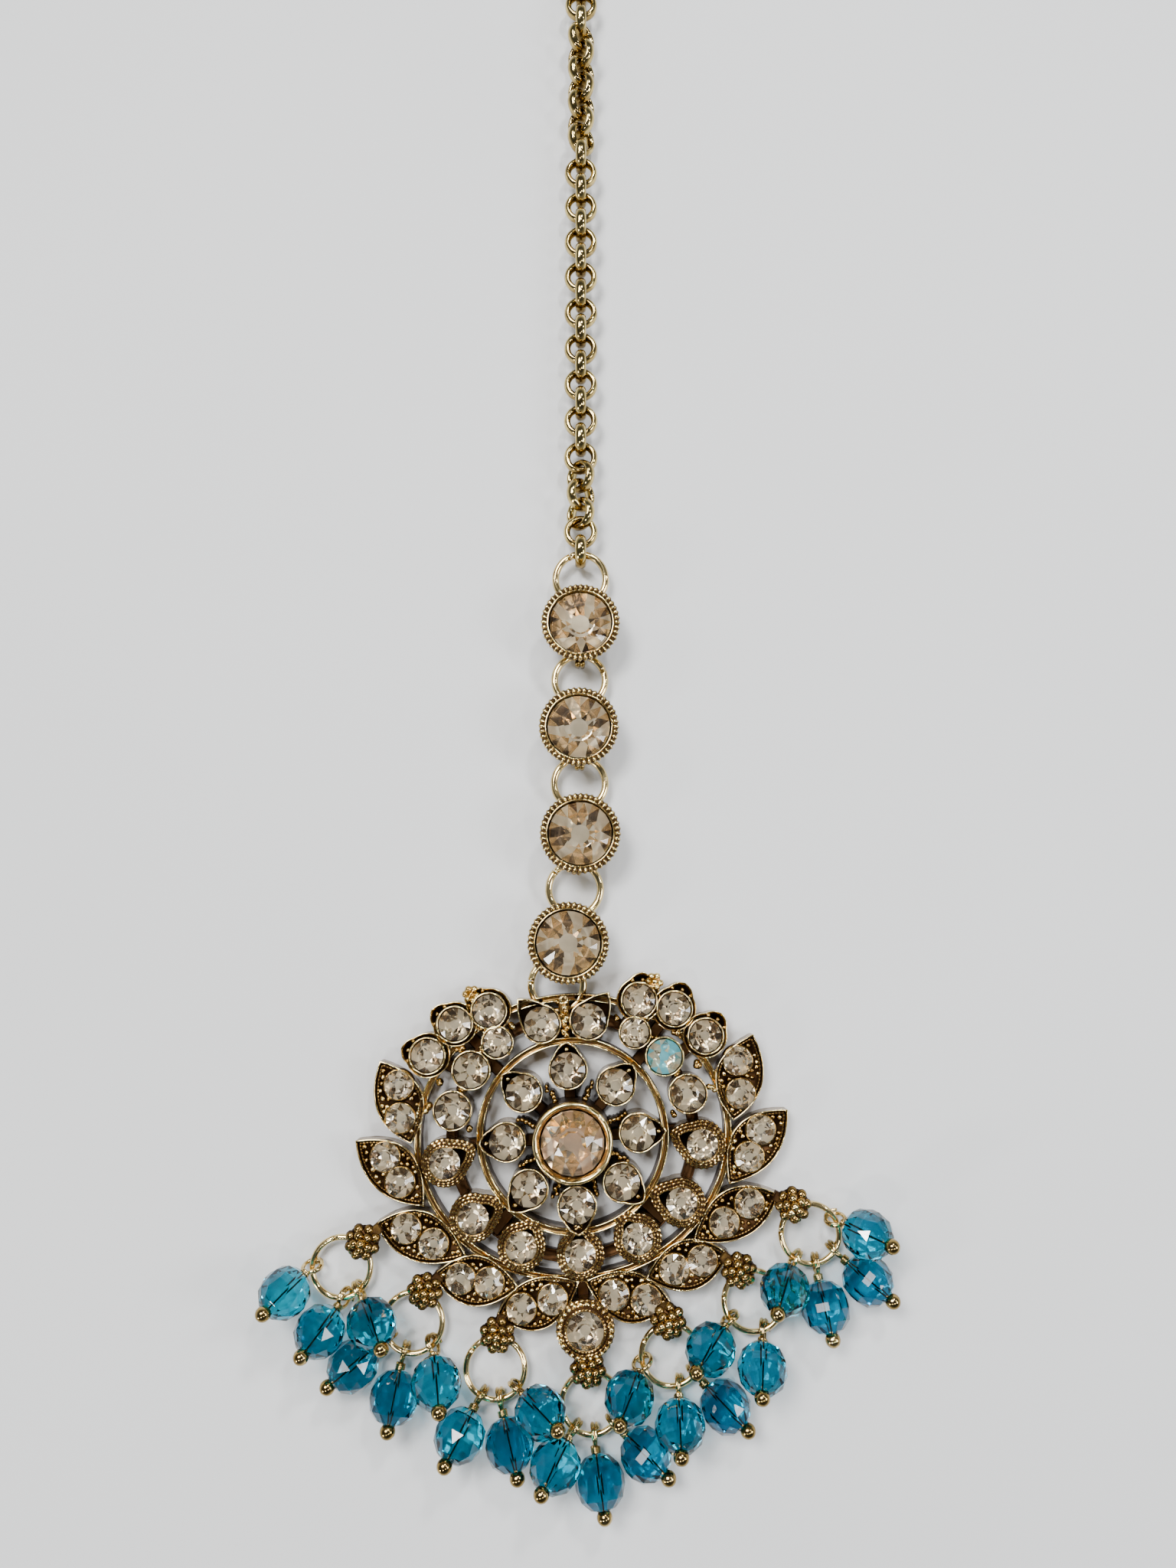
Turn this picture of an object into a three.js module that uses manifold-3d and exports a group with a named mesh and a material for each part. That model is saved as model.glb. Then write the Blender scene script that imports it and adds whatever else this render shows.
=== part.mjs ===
// Maang tikka: a rolo chain, four collet-set crystals, an openwork flower pendant and glass bead drops.
// Millimetres, +Z up. It lies on its back on Z = 0, and +Y runs from the pendant up the chain.
// The origin is on the pendant's flat back, under its centre stone.
import * as THREE from "three";
import { mergeVertices } from "three/addons/utils/BufferGeometryUtils.js";
import Module from "manifold-3d";

const wasm = await Module();
wasm.setup();

// Fits
const clearance = 0.3;
const stoneGap = 0.4;
const fuseDepth = 0.3;
const facetAllowance = 0.15;

// Chain
const chainLinkOuter = 4.65;
const chainWire = 1.05;
const chainLinks = 33;
const chainPress = 0.1;
const chainLevel = 2.5;
const topRingSag = 0.15;

// Hair hook at the free end
const hookWire = 0.9;
const hookEyeInner = 2.6;
const hookShank = 12;
const hookBendInner = 4.8;
const hookReturn = 8;

// Rings between the settings, and the small rings of the bead drops
const connectorWire = 0.95;
const pendantRingOuter = 7.7;
const jumpOuter = 8.0;
const jumpWire = 0.75;

// The eyes that hold those rings
const eyeBar = 0.7;
const eyeWidth = 1.3;
const eyeLeg = 0.6;
const eyeRoom = 0.45;

// Crystal settings in a row
const settingOuter = 10.5;
const settingStone = 8.1;
const settingPitch = 13.9;
const settingWall = 0.6;
const settingDepth = 3.2;
const settingEyeInset = 1.675;
const firstSettingY = 24.4;

// Pendant plan: the half width reaches the widest leaf tip
const pendantHalfWidth = 27.2;
const pendantTurn = 4;
const pendantRingLean = 20;
const bandWidth = 0.9;
const bandHeight = 2.6;
const backBarWidth = 1.5;
const backBarHeight = 1.1;
const backGrind = 1;
const stockLow = -0.5 * backGrind;

// Pendant stones and collets
const centreStone = 7.9;
const centreWall = 0.65;
const centreHeight = 6.3;
const centreSeat = 3.7;
const petalStone = 4.3;
const petalHeight = 4.6;
const colletWall = 0.3;
const crownRise = 0.5;
const pointDrop = 0.4;
const smallStone = 3.5;
const roundStone = 4.3;
const flowerStone = 4.0;
const outerHeight = 3.9;
const milledStone = 4.2;
const milledWall = 0.85;
const leafStone = 3.7;
const leafHalfWidth = 3;
const leafHeight = 3.0;
const dropStone = 4.9;
const dropWall = 1.1;
const rosetteRadius = 2.25;
const rosetteWaist = 0.8;
const rosetteHeight = 1.9;
const rosetteArm = 1;
const rosetteEyeAhead = 0.8;

// Bead drops
const beadDiameter = 6;
const beadLength = 6;
const beadShoulder = 0.52;
const beadBevel = 0.1;
const pinWire = 0.5;
const pinLoopInner = 1.9;
const pinNeck = 0.85;
const pinBall = 1.9;

const GOLD = 0xb9a25c;
const OLD_GOLD = 0x8a6f3c;
const PALE_GOLD = 0xc3b06a;
const CHAMPAGNE = 0xd8c3a2;
const TEAL = 0x0a6f93;

// Cut stones, as shares of the stone's radius
const pavilionShare = 0.36;
const crownShare = 0.42;
const tableShare = 0.55;
const girdleThickness = 0.2;

// Sides of the meshed rounds
const cupSides = 8;
const stoneSides = 12;
const ringSides = 10;
const wireSides = 5;

const radians = THREE.MathUtils.degToRad;

// A closed solid from a geometry, with shared vertices merged and empty triangles dropped
function solidOf(geometry) {
  geometry.deleteAttribute("normal");
  geometry.deleteAttribute("uv");
  const merged = mergeVertices(geometry, 1e-4);
  const index = merged.index.array;
  const corners = [];
  for (let i = 0; i < index.length; i += 3) {
    const [a, b, c] = [index[i], index[i + 1], index[i + 2]];
    if (a !== b && b !== c && c !== a) {
      corners.push(a, b, c);
    }
  }
  const mesh = new wasm.Mesh({
    numProp: 3,
    vertProperties: new Float32Array(merged.attributes.position.array),
    triVerts: new Uint32Array(corners),
  });
  return new wasm.Manifold(mesh);
}

function geometryOf(solid) {
  const mesh = solid.getMesh();
  const geometry = new THREE.BufferGeometry();
  geometry.setAttribute("position", new THREE.BufferAttribute(new Float32Array(mesh.vertProperties), 3));
  geometry.setIndex(new THREE.BufferAttribute(new Uint32Array(mesh.triVerts), 1));
  geometry.computeVertexNormals();
  return geometry;
}

// Joins neighbours pair by pair, which keeps the number of cuts on each low
function joined(solids) {
  let list = solids;
  while (list.length > 1) {
    const next = [];
    for (let i = 0; i + 1 < list.length; i += 2) {
      next.push(list[i].add(list[i + 1]));
    }
    if (list.length % 2) {
      next.push(list[list.length - 1]);
    }
    list = next;
  }
  return list[0];
}

function meshOf(name, solid, color, roughness, metalness) {
  const material = new THREE.MeshStandardMaterial({ color, roughness, metalness });
  const mesh = new THREE.Mesh(geometryOf(solid), material);
  mesh.name = name;
  return mesh;
}

// A turned solid: the profile is [radius, height] pairs from the axis out and back to the axis
function turned(profile, sides) {
  const points = profile.map(([radius, height]) => new THREE.Vector2(radius, height));
  return new THREE.LatheGeometry(points, sides).rotateX(Math.PI / 2);
}

function ring(outer, wire, around, across) {
  return new THREE.TorusGeometry((outer - wire) / 2, wire / 2, across, around);
}

// A flat-sided block from one plan point to another, standing between two heights
function bar(from, to, width, low, high) {
  const along = new THREE.Vector2().subVectors(to, from);
  const block = new THREE.BoxGeometry(along.length(), width, high - low);
  block.rotateZ(along.angle());
  return solidOf(block.translate((from.x + to.x) / 2, (from.y + to.y) / 2, (low + high) / 2));
}

// A staple under a piece, round a ring's wire: the legs stand either side of the wire along `heading`
function eye(at, heading, wire, top) {
  const half = wire / 2 + eyeRoom;
  const outer = half + eyeLeg;
  const outline = new THREE.Shape();
  outline.moveTo(-outer, 0);
  outline.lineTo(outer, 0);
  outline.lineTo(outer, top);
  outline.lineTo(half, top);
  outline.lineTo(half, eyeBar);
  outline.lineTo(-half, eyeBar);
  outline.lineTo(-half, top);
  outline.lineTo(-outer, top);
  const staple = new THREE.ExtrudeGeometry(outline, { depth: eyeWidth, bevelEnabled: false });
  staple.translate(0, 0, -eyeWidth / 2).rotateX(Math.PI / 2).rotateZ(heading);
  return solidOf(staple.translate(at.x, at.y, 0));
}

function eyeTop(wire) {
  return eyeBar + 2 * eyeRoom + wire;
}

function ringLevel(wire) {
  return eyeBar + eyeRoom + wire / 2;
}

// A cut stone: pointed pavilion, girdle, crown and flat table
function cutStone(diameter, low, sides) {
  const radius = diameter / 2;
  const girdle = low + pavilionShare * radius;
  const table = girdle + crownShare * radius;
  const profile = [
    [0, low],
    [radius, girdle],
    [radius, girdle + girdleThickness],
    [tableShare * radius, table],
    [0, table],
  ];
  return turned(profile, sides);
}

// Settings in a row, counted from the chain: sideways is each one's X
const sideways = [0.9, 0.7, 0.9, -0.6];
const settingPlaces = sideways.map((x, i) => new THREE.Vector2(x, firstSettingY + (3 - i) * settingPitch));
const settingBase = eyeTop(connectorWire);
const settingTop = settingBase + settingDepth;

// A ring of the row reaches from eye to eye, and each eye stands in from its setting's rim
const settingEyeAt = settingOuter / 2 - settingEyeInset;
const connectorRadius = settingPitch / 2 - settingEyeAt;
const connectorOuter = 2 * connectorRadius + connectorWire;
const pendantRingRadius = (pendantRingOuter - connectorWire) / 2;

function towards(from, to, length) {
  return new THREE.Vector2().subVectors(to, from).setLength(length).add(from);
}

function headingOf(from, to) {
  return new THREE.Vector2().subVectors(to, from).angle();
}

// Pendant plan, right-hand half: places are shares of pendantHalfWidth, the left half mirrors it
const share = (x, y) => new THREE.Vector2(x * pendantHalfWidth, y * pendantHalfWidth);
const innerPetals = { count: 8, radius: 0.302, tip: 0.43, rise: 0.018 };
const bands = [
  { halfWidth: 0.427, halfLength: 0.427, rise: 0.02, height: 1.3, sides: 20 },
  { halfWidth: 0.72, halfLength: 0.63, rise: 0.015, height: 1, sides: 24 },
];
const backBand = { halfWidth: 0.565, halfLength: 0.545, rise: 0.012, sides: 12 };
const roundCups = [
  { x: 0.32, y: 0.463, stone: smallStone },
  { x: 0.449, y: 0.346, stone: roundStone },
  { x: 0.544, y: 0.171, stone: roundStone },
  { x: 0.351, y: 0.61, stone: flowerStone },
  { x: 0.513, y: 0.559, stone: flowerStone },
  { x: 0.647, y: 0.425, stone: flowerStone },
];
const pointedCups = [
  { x: 0.11, y: 0.533, tipX: 0.215, tipY: 0.655, stone: petalStone, wall: colletWall },
  { x: 0.592, y: -0.061, tipX: 0.45, tipY: 0.005, stone: milledStone, wall: milledWall },
  { x: 0.476, y: -0.311, tipX: 0.335, tipY: -0.255, stone: milledStone, wall: milledWall },
  { x: 0.265, y: -0.452, tipX: 0.195, tipY: -0.345, stone: milledStone, wall: milledWall },
];
const bottomPetal = { x: 0, y: -0.505, tipX: 0, tipY: -0.37, stone: milledStone, wall: milledWall };
const leaves = [
  { tip: [0.871, 0.415], end: [0.746, 0.033], far: [0.79, 0.301], near: [0.79, 0.151] },
  { tip: [1, 0.063], end: [0.702, -0.246], far: [0.868, -0.017], near: [0.805, -0.134] },
  { tip: [0.923, -0.309], end: [0.518, -0.485], far: [0.787, -0.338], near: [0.665, -0.415] },
  { tip: [0.673, -0.551], end: [0.29, -0.632], far: [0.551, -0.574], near: [0.421, -0.601] },
  { tip: [0.397, -0.75], end: [0.015, -0.625], far: [0.283, -0.724], near: [0.14, -0.693] },
];
const dropCup = { x: 0, y: -0.83 };
const topEye = { x: 0, y: 0.585 };

// The ring from the pendant to the last setting leaves the pendant's top eye towards that setting
const pendantEyeAt = share(topEye.x, topEye.y).rotateAround(new THREE.Vector2(), radians(pendantTurn));
const pendantRingAt = towards(pendantEyeAt, settingPlaces[3], pendantRingRadius)
  .rotateAround(pendantEyeAt, radians(pendantRingLean));

// Rosettes carry the jump rings, in order from the left: heading is where the ring lies, in degrees
const rosettes = [
  { name: "a", x: -0.985, y: -0.382, heading: 226, holdX: -0.9, holdY: -0.32 },
  { name: "b", x: -0.713, y: -0.614, heading: 245, holdX: -0.64, holdY: -0.55 },
  { name: "c", x: -0.397, y: -0.824, heading: 262, holdX: -0.37, holdY: -0.74 },
  { name: "d", x: 0, y: -1, heading: 271, holdX: 0, holdY: -0.9 },
  { name: "e", x: 0.375, y: -0.82, heading: 271, holdX: 0.36, holdY: -0.74 },
  { name: "f", x: 0.713, y: -0.625, heading: 291, holdX: 0.64, holdY: -0.55 },
  { name: "g", x: 0.985, y: -0.357, heading: 297, holdX: 0.9, holdY: -0.31 },
];
const jumpRadius = (jumpOuter - jumpWire) / 2;
const jumpLevel = ringLevel(jumpWire);

// A point ahead of a rosette along the way its jump ring lies
function aheadOf(row, distance) {
  const heading = radians(row.heading);
  const step = new THREE.Vector2(Math.cos(heading), Math.sin(heading)).multiplyScalar(distance);
  return share(row.x, row.y).add(step);
}

const rosetteBase = eyeTop(jumpWire);

function mirrored(rows) {
  const twins = rows.map((row) => {
    const twin = { ...row };
    for (const key of ["x", "tipX"]) {
      if (key in twin) {
        twin[key] = -twin[key];
      }
    }
    for (const key of ["tip", "end", "far", "near"]) {
      if (key in twin) {
        twin[key] = [-twin[key][0], twin[key][1]];
      }
    }
    return twin;
  });
  return [...rows, ...twins];
}

// A collet with its stone: the crown's facets rise from the rim to the table
function stoneCup(at, stone, wall, height, sides) {
  const outer = stone / 2 + wall;
  const flat = (tableShare * stone) / 2;
  const table = height + crownRise;
  const profile = [[0, stockLow], [outer, stockLow], [outer, height], [flat, table], [0, table]];
  return solidOf(turned(profile, sides).translate(at.x, at.y, 0));
}

// The pointed side of a teardrop collet, from the collet's flanks to the tip: bluntestShare keeps a
// short point from vanishing into the round
const bluntestShare = 0.95;

function cupPoint(at, tip, outer, height) {
  const reach = at.distanceTo(tip);
  const heading = headingOf(at, tip);
  const flank = Math.acos(Math.min(bluntestShare, outer / reach));
  const outline = new THREE.Shape();
  outline.moveTo(0, 0);
  outline.lineTo(outer * Math.cos(flank), -outer * Math.sin(flank));
  outline.lineTo(reach, 0);
  outline.lineTo(outer * Math.cos(flank), outer * Math.sin(flank));
  const depth = height - pointDrop - stockLow;
  const wedge = new THREE.ExtrudeGeometry(outline, { depth, bevelEnabled: false });
  return solidOf(wedge.rotateZ(heading).translate(at.x, at.y, stockLow));
}

function pointedCup(row) {
  const at = share(row.x, row.y);
  const outer = row.stone / 2 + row.wall;
  return [
    stoneCup(at, row.stone, row.wall, outerHeight, cupSides),
    cupPoint(at, share(row.tipX, row.tipY), outer, outerHeight),
  ];
}

function innerPetal(index) {
  const angle = Math.PI / 2 + (index * 2 * Math.PI) / innerPetals.count;
  const around = (radius) => share(radius * Math.cos(angle), radius * Math.sin(angle) + innerPetals.rise);
  const outer = petalStone / 2 + colletWall;
  const at = around(innerPetals.radius);
  return [
    stoneCup(at, petalStone, colletWall, petalHeight, cupSides),
    cupPoint(at, around(innerPetals.tip), outer, petalHeight),
  ];
}

// An oval band standing on the back plane
function ovalBand(row, width, height) {
  const across = row.halfWidth * pendantHalfWidth;
  const along = row.halfLength * pendantHalfWidth;
  const oval = (grow) => {
    const corners = [];
    for (let i = 0; i < row.sides; i += 1) {
      const angle = (i * 2 * Math.PI) / row.sides;
      corners.push(new THREE.Vector2((across + grow) * Math.cos(angle), (along + grow) * Math.sin(angle)));
    }
    return corners;
  };
  const outline = new THREE.Shape(oval(width / 2));
  outline.holes.push(new THREE.Path(oval(-width / 2).reverse()));
  const band = new THREE.ExtrudeGeometry(outline, { depth: height - stockLow, bevelEnabled: false });
  return solidOf(band.translate(0, row.rise * pendantHalfWidth, stockLow));
}

// A leaf with two stones: its sides bow out by leafHalfWidth either side of the stones
function leaf(row) {
  const tip = share(...row.tip);
  const end = share(...row.end);
  const far = share(...row.far);
  const near = share(...row.near);
  const chordMiddle = tip.clone().add(end).multiplyScalar(0.5);
  const stoneMiddle = far.clone().add(near).multiplyScalar(0.5);
  const side = tip.clone().sub(end).normalize().rotateAround(new THREE.Vector2(), Math.PI / 2);
  const bow = (sign) => stoneMiddle.clone().addScaledVector(side, sign * leafHalfWidth)
    .multiplyScalar(2).sub(chordMiddle);
  const [left, right] = [bow(1), bow(-1)];
  const outline = new THREE.Shape();
  outline.moveTo(end.x, end.y);
  outline.quadraticCurveTo(right.x, right.y, tip.x, tip.y);
  outline.quadraticCurveTo(left.x, left.y, end.x, end.y);
  const thickness = { depth: leafHeight - stockLow, bevelEnabled: false, curveSegments: 4 };
  const plate = new THREE.ExtrudeGeometry(outline, thickness).translate(0, 0, stockLow);
  const root = towards(new THREE.Vector2(), stoneMiddle, bands[1].halfLength * pendantHalfWidth);
  return [
    solidOf(plate),
    leafStoneAt(far),
    leafStoneAt(near),
    bar(root, stoneMiddle, backBarWidth, stockLow, backBarHeight),
  ];
}

function leafStoneAt(at) {
  const low = leafHeight - fuseDepth;
  const table = leafHeight + crownRise;
  const radius = leafStone / 2;
  const profile = [[0, low], [radius, low], [tableShare * radius, table], [0, table]];
  return solidOf(turned(profile, 8).translate(at.x, at.y, 0));
}

// A rosette of six lobes on the eye that holds its jump ring
function rosette(row) {
  const at = share(row.x, row.y);
  const hold = share(row.holdX, row.holdY);
  const outline = new THREE.Shape();
  for (let i = 0; i < 12; i += 1) {
    const radius = i % 2 ? rosetteWaist * rosetteRadius : rosetteRadius;
    const angle = (i * Math.PI) / 6;
    if (i === 0) {
      outline.moveTo(radius, 0);
    } else {
      outline.lineTo(radius * Math.cos(angle), radius * Math.sin(angle));
    }
  }
  const lobes = new THREE.ExtrudeGeometry(outline, { depth: rosetteHeight, bevelEnabled: false });
  lobes.translate(at.x, at.y, rosetteBase);
  return [
    solidOf(lobes),
    eye(aheadOf(row, rosetteEyeAhead), radians(row.heading), jumpWire, rosetteBase + fuseDepth),
    bar(hold, at, eyeWidth, rosetteBase, rosetteBase + rosetteArm),
  ];
}

function centreCollet() {
  const outer = centreStone / 2 + stoneGap + centreWall;
  const inner = centreStone / 2 + stoneGap;
  const profile = [
    [0, stockLow],
    [outer, stockLow],
    [outer, centreHeight],
    [inner, centreHeight],
    [inner, centreSeat],
    [0, centreSeat],
  ];
  return solidOf(turned(profile, 14));
}

function topRingEye() {
  const at = share(topEye.x, topEye.y);
  const top = eyeTop(connectorWire);
  const between = share(0, pointedCups[0].y);
  const right = share(pointedCups[0].x, pointedCups[0].y);
  const left = new THREE.Vector2(-right.x, right.y);
  const end = new THREE.Vector2(at.x, at.y + connectorWire / 2 + eyeRoom + eyeLeg);
  return [
    eye(at, radians(90 + pendantRingLean), connectorWire, top + fuseDepth),
    bar(between, end, eyeWidth, top, top + rosetteArm),
    bar(right, left, eyeWidth, stockLow, top + rosetteArm),
  ];
}

// Bars on the back that tie the collets to the bands
function backBars() {
  const bars = [];
  const reach = backBand.halfWidth * pendantHalfWidth;
  for (let i = 0; i < innerPetals.count / 2; i += 1) {
    const angle = (i * 2 * Math.PI) / innerPetals.count;
    const end = new THREE.Vector2(reach * Math.cos(angle), reach * Math.sin(angle));
    bars.push(bar(end.clone().negate(), end, backBarWidth, stockLow, backBarHeight));
  }
  for (const row of mirrored(roundCups)) {
    const cup = share(row.x, row.y);
    const foot = towards(new THREE.Vector2(), cup, backBand.halfLength * pendantHalfWidth);
    if (foot.length() < cup.length()) {
      bars.push(bar(foot, cup, backBarWidth, stockLow, backBarHeight));
    }
  }
  const bandFoot = share(0, backBand.rise - backBand.halfLength);
  bars.push(bar(bandFoot, share(dropCup.x, dropCup.y), backBarWidth, stockLow, backBarHeight));
  return bars;
}

// The room that the pendant ring needs where the outer band and the top collets cross it
function pendantRingRoom() {
  const centre = pendantRingAt.clone().rotateAround(new THREE.Vector2(), -radians(pendantTurn));
  const air = 2 * (clearance + facetAllowance);
  const room = ring(pendantRingOuter + air, connectorWire + air, 12, wireSides);
  return solidOf(room.translate(centre.x, centre.y, ringLevel(connectorWire)));
}

// The metal below the back plane, which is ground off flat in one cut
function backStock() {
  const side = 4 * pendantHalfWidth;
  const block = new THREE.BoxGeometry(side, side, 2 * backGrind);
  return solidOf(block.translate(0, 0, -backGrind));
}

function pendantFrame() {
  const parts = [centreCollet(), ...backBars(), ...topRingEye()];
  parts.push(ovalBand(backBand, backBarWidth, backBarHeight));
  for (const row of bands) {
    parts.push(ovalBand(row, bandWidth, row.height * bandHeight));
  }
  for (let i = 0; i < innerPetals.count; i += 1) {
    parts.push(...innerPetal(i));
  }
  for (const row of mirrored(roundCups)) {
    parts.push(stoneCup(share(row.x, row.y), row.stone, colletWall, outerHeight, cupSides));
  }
  for (const row of [...mirrored(pointedCups), bottomPetal]) {
    parts.push(...pointedCup(row));
  }
  parts.push(stoneCup(share(dropCup.x, dropCup.y), dropStone, dropWall, outerHeight, stoneSides));
  for (const row of mirrored(leaves)) {
    parts.push(...leaf(row));
  }
  for (const row of rosettes) {
    parts.push(...rosette(row));
  }
  const frame = joined(parts).subtract(pendantRingRoom()).subtract(backStock());
  return meshOf("pendant_frame", frame, OLD_GOLD, 0.38, 0.9);
}

function jumpRing(row) {
  const centre = aheadOf(row, rosetteEyeAhead + jumpRadius);
  const wire = ring(jumpOuter, jumpWire, ringSides, wireSides);
  wire.rotateZ(radians(row.heading));
  wire.translate(centre.x, centre.y, jumpLevel);
  return meshOf(`jump_ring_${row.name}`, solidOf(wire), GOLD, 0.3, 0.95);
}

// Bead drops: ring names the jump ring, at is the place on it, azimuth and pitch point the pin, in degrees
const drops = [
  { ring: "a", at: 177, azimuth: 222, pitch: 50 },
  { ring: "a", at: 278, azimuth: 233, pitch: 44 },
  { ring: "a", at: 309, azimuth: 309, pitch: 44 },
  { ring: "b", at: 207, azimuth: 217, pitch: 19 },
  { ring: "b", at: 252, azimuth: 261, pitch: 19 },
  { ring: "b", at: 313, azimuth: 288, pitch: 50 },
  { ring: "c", at: 239, azimuth: 239, pitch: 36 },
  { ring: "c", at: 279, azimuth: 287, pitch: 19 },
  { ring: "c", at: 319, azimuth: 337, pitch: 50 },
  { ring: "d", at: 233, azimuth: 233, pitch: 46 },
  { ring: "d", at: 275, azimuth: 279, pitch: 19 },
  { ring: "d", at: 322, azimuth: 321, pitch: 19 },
  { ring: "e", at: 193, azimuth: 238, pitch: 50 },
  { ring: "e", at: 284, azimuth: 268, pitch: 50 },
  { ring: "e", at: 323, azimuth: 318, pitch: 19 },
  { ring: "f", at: 214, azimuth: 223, pitch: 43 },
  { ring: "f", at: 288, azimuth: 258, pitch: 50 },
  { ring: "g", at: 235, azimuth: 235, pitch: 50 },
  { ring: "g", at: 278, azimuth: 280, pitch: 19 },
  { ring: "g", at: 325, azimuth: 321, pitch: 19 },
  { ring: "g", at: 28, azimuth: 343, pitch: 50 },
];

function beadDrop(row, index) {
  const bead = beadDiameter / 2;
  const half = beadLength / 2;
  const loopOuter = pinLoopInner + 2 * pinWire;
  const loopMiddle = (pinLoopInner + pinWire) / 2;
  const beadStart = loopMiddle + pinNeck;
  const beadEnd = beadStart + beadLength;
  const shoulder = beadShoulder * bead;
  const bevel = beadBevel * half;
  const profile = [
    [0, loopMiddle - pinWire / 4],
    [pinWire, beadStart],
    [shoulder, beadStart + bevel],
    [bead, beadStart + half],
    [shoulder, beadEnd - bevel],
    [0, beadEnd],
  ];
  const beadShape = turned(profile, ringSides);
  const ball = new THREE.IcosahedronGeometry(pinBall / 2, 0);
  ball.translate(0, 0, beadEnd + pinBall / 2 - fuseDepth);
  const loop = ring(loopOuter, pinWire, 6, wireSides).rotateX(Math.PI / 2);
  const drop = joined([solidOf(loop), solidOf(beadShape), solidOf(ball)]);
  const mesh = meshOf(`bead_drop_${String(index + 1).padStart(2, "0")}`, drop, TEAL, 0.12, 0);
  placeDrop(mesh, row);
  return mesh;
}

// The loop's plane holds the pin's direction and stands as square as it can to the ring's wire
function placeDrop(mesh, row) {
  const home = rosettes.find((rose) => rose.name === row.ring);
  const at = radians(row.at - pendantTurn);
  const centre = aheadOf(home, rosetteEyeAhead + jumpRadius);
  const azimuth = radians(row.azimuth - pendantTurn);
  const pitch = radians(row.pitch);
  const along = new THREE.Vector3(Math.cos(azimuth), Math.sin(azimuth), Math.tan(pitch)).normalize();
  const tangent = new THREE.Vector3(-Math.sin(at), Math.cos(at), 0);
  const normal = tangent.addScaledVector(along, -tangent.dot(along)).normalize();
  const side = new THREE.Vector3().crossVectors(normal, along);
  mesh.quaternion.setFromRotationMatrix(new THREE.Matrix4().makeBasis(side, normal, along));
  mesh.position.set(centre.x + jumpRadius * Math.cos(at), centre.y + jumpRadius * Math.sin(at), jumpLevel);
}

function pendant() {
  const group = new THREE.Group();
  group.add(pendantFrame());
  const stone = solidOf(cutStone(centreStone, centreSeat + stoneGap, stoneSides));
  group.add(meshOf("centre_stone", stone, CHAMPAGNE, 0.08, 0));
  for (const row of rosettes) {
    group.add(jumpRing(row));
  }
  drops.forEach((row, index) => group.add(beadDrop(row, index)));
  group.rotation.z = radians(pendantTurn);
  return group;
}

// One collet of the row, with an eye below it at each end
function setting(index) {
  const at = settingPlaces[index];
  const above = index === 0 ? new THREE.Vector2(at.x, at.y + settingPitch) : settingPlaces[index - 1];
  const outer = settingOuter / 2;
  const inner = settingStone / 2 + stoneGap;
  const seat = settingBase + settingWall;
  const profile = [
    [0, settingBase],
    [outer, settingBase],
    [outer, settingTop],
    [inner, settingTop],
    [inner, seat],
    [0, seat],
  ];
  const cup = turned(profile, stoneSides).translate(at.x, at.y, 0);
  const upper = towards(at, above, settingEyeAt);
  const below = settingPlaces[index + 1];
  const lower = below ? towards(at, below, settingEyeAt)
    : towards(pendantRingAt, at, pendantRingRadius);
  const lowerHeading = below ? headingOf(at, below) : headingOf(pendantRingAt, at);
  const solid = joined([
    solidOf(cup),
    eye(upper, headingOf(at, above), connectorWire, settingBase + fuseDepth),
    eye(lower, lowerHeading, connectorWire, settingBase + fuseDepth),
  ]);
  return meshOf(`setting_${index + 1}`, solid, GOLD, 0.3, 0.95);
}

function settingStoneMesh(index) {
  const at = settingPlaces[index];
  const low = settingBase + settingWall + stoneGap;
  const stone = cutStone(settingStone, low, stoneSides).translate(at.x, at.y, 0);
  return meshOf(`setting_stone_${index + 1}`, solidOf(stone), CHAMPAGNE, 0.08, 0);
}

function connectorRing(name, centre, outer) {
  const wire = ring(outer, connectorWire, ringSides, wireSides);
  wire.translate(centre.x, centre.y, ringLevel(connectorWire));
  return meshOf(name, solidOf(wire), GOLD, 0.28, 0.95);
}

// The top ring leans up to the chain, so that the first link clears the floor
const topRingRise = chainLevel - topRingSag - ringLevel(connectorWire);
const topRingAt = new THREE.Vector2(settingPlaces[0].x, settingPlaces[0].y + settingPitch / 2);
const chainBore = (chainLinkOuter - 2 * chainWire) / 2;
const chainRoom = connectorWire / 2 + clearance + facetAllowance;
const chainStart = topRingAt.y + connectorRadius + chainBore - chainRoom;
const chainPitch = chainLinkOuter - 2 * chainWire + chainPress;

function topRing() {
  const wire = ring(connectorOuter, connectorWire, ringSides, wireSides);
  wire.translate(0, connectorRadius, 0);
  wire.rotateX(Math.asin(topRingRise / (2 * connectorRadius)));
  wire.translate(topRingAt.x, topRingAt.y - connectorRadius, ringLevel(connectorWire));
  return meshOf("top_ring", solidOf(wire), GOLD, 0.28, 0.95);
}

// Where the chain twists, its links lean by 45 degrees: from and to are link numbers
const twists = [
  { from: 2, to: 4 },
  { from: 23, to: 29 },
];

function chain() {
  const links = [];
  for (let i = 0; i < chainLinks; i += 1) {
    const twisted = twists.some((twist) => i >= twist.from && i <= twist.to);
    const roll = (i % 2 ? 0 : 90) + (twisted ? 45 : 0);
    const link = ring(chainLinkOuter, chainWire, ringSides, wireSides).rotateY(radians(roll));
    links.push(solidOf(link.translate(topRingAt.x, chainStart + i * chainPitch, chainLevel)));
  }
  return meshOf("chain", joined(links), PALE_GOLD, 0.27, 0.95);
}

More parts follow.
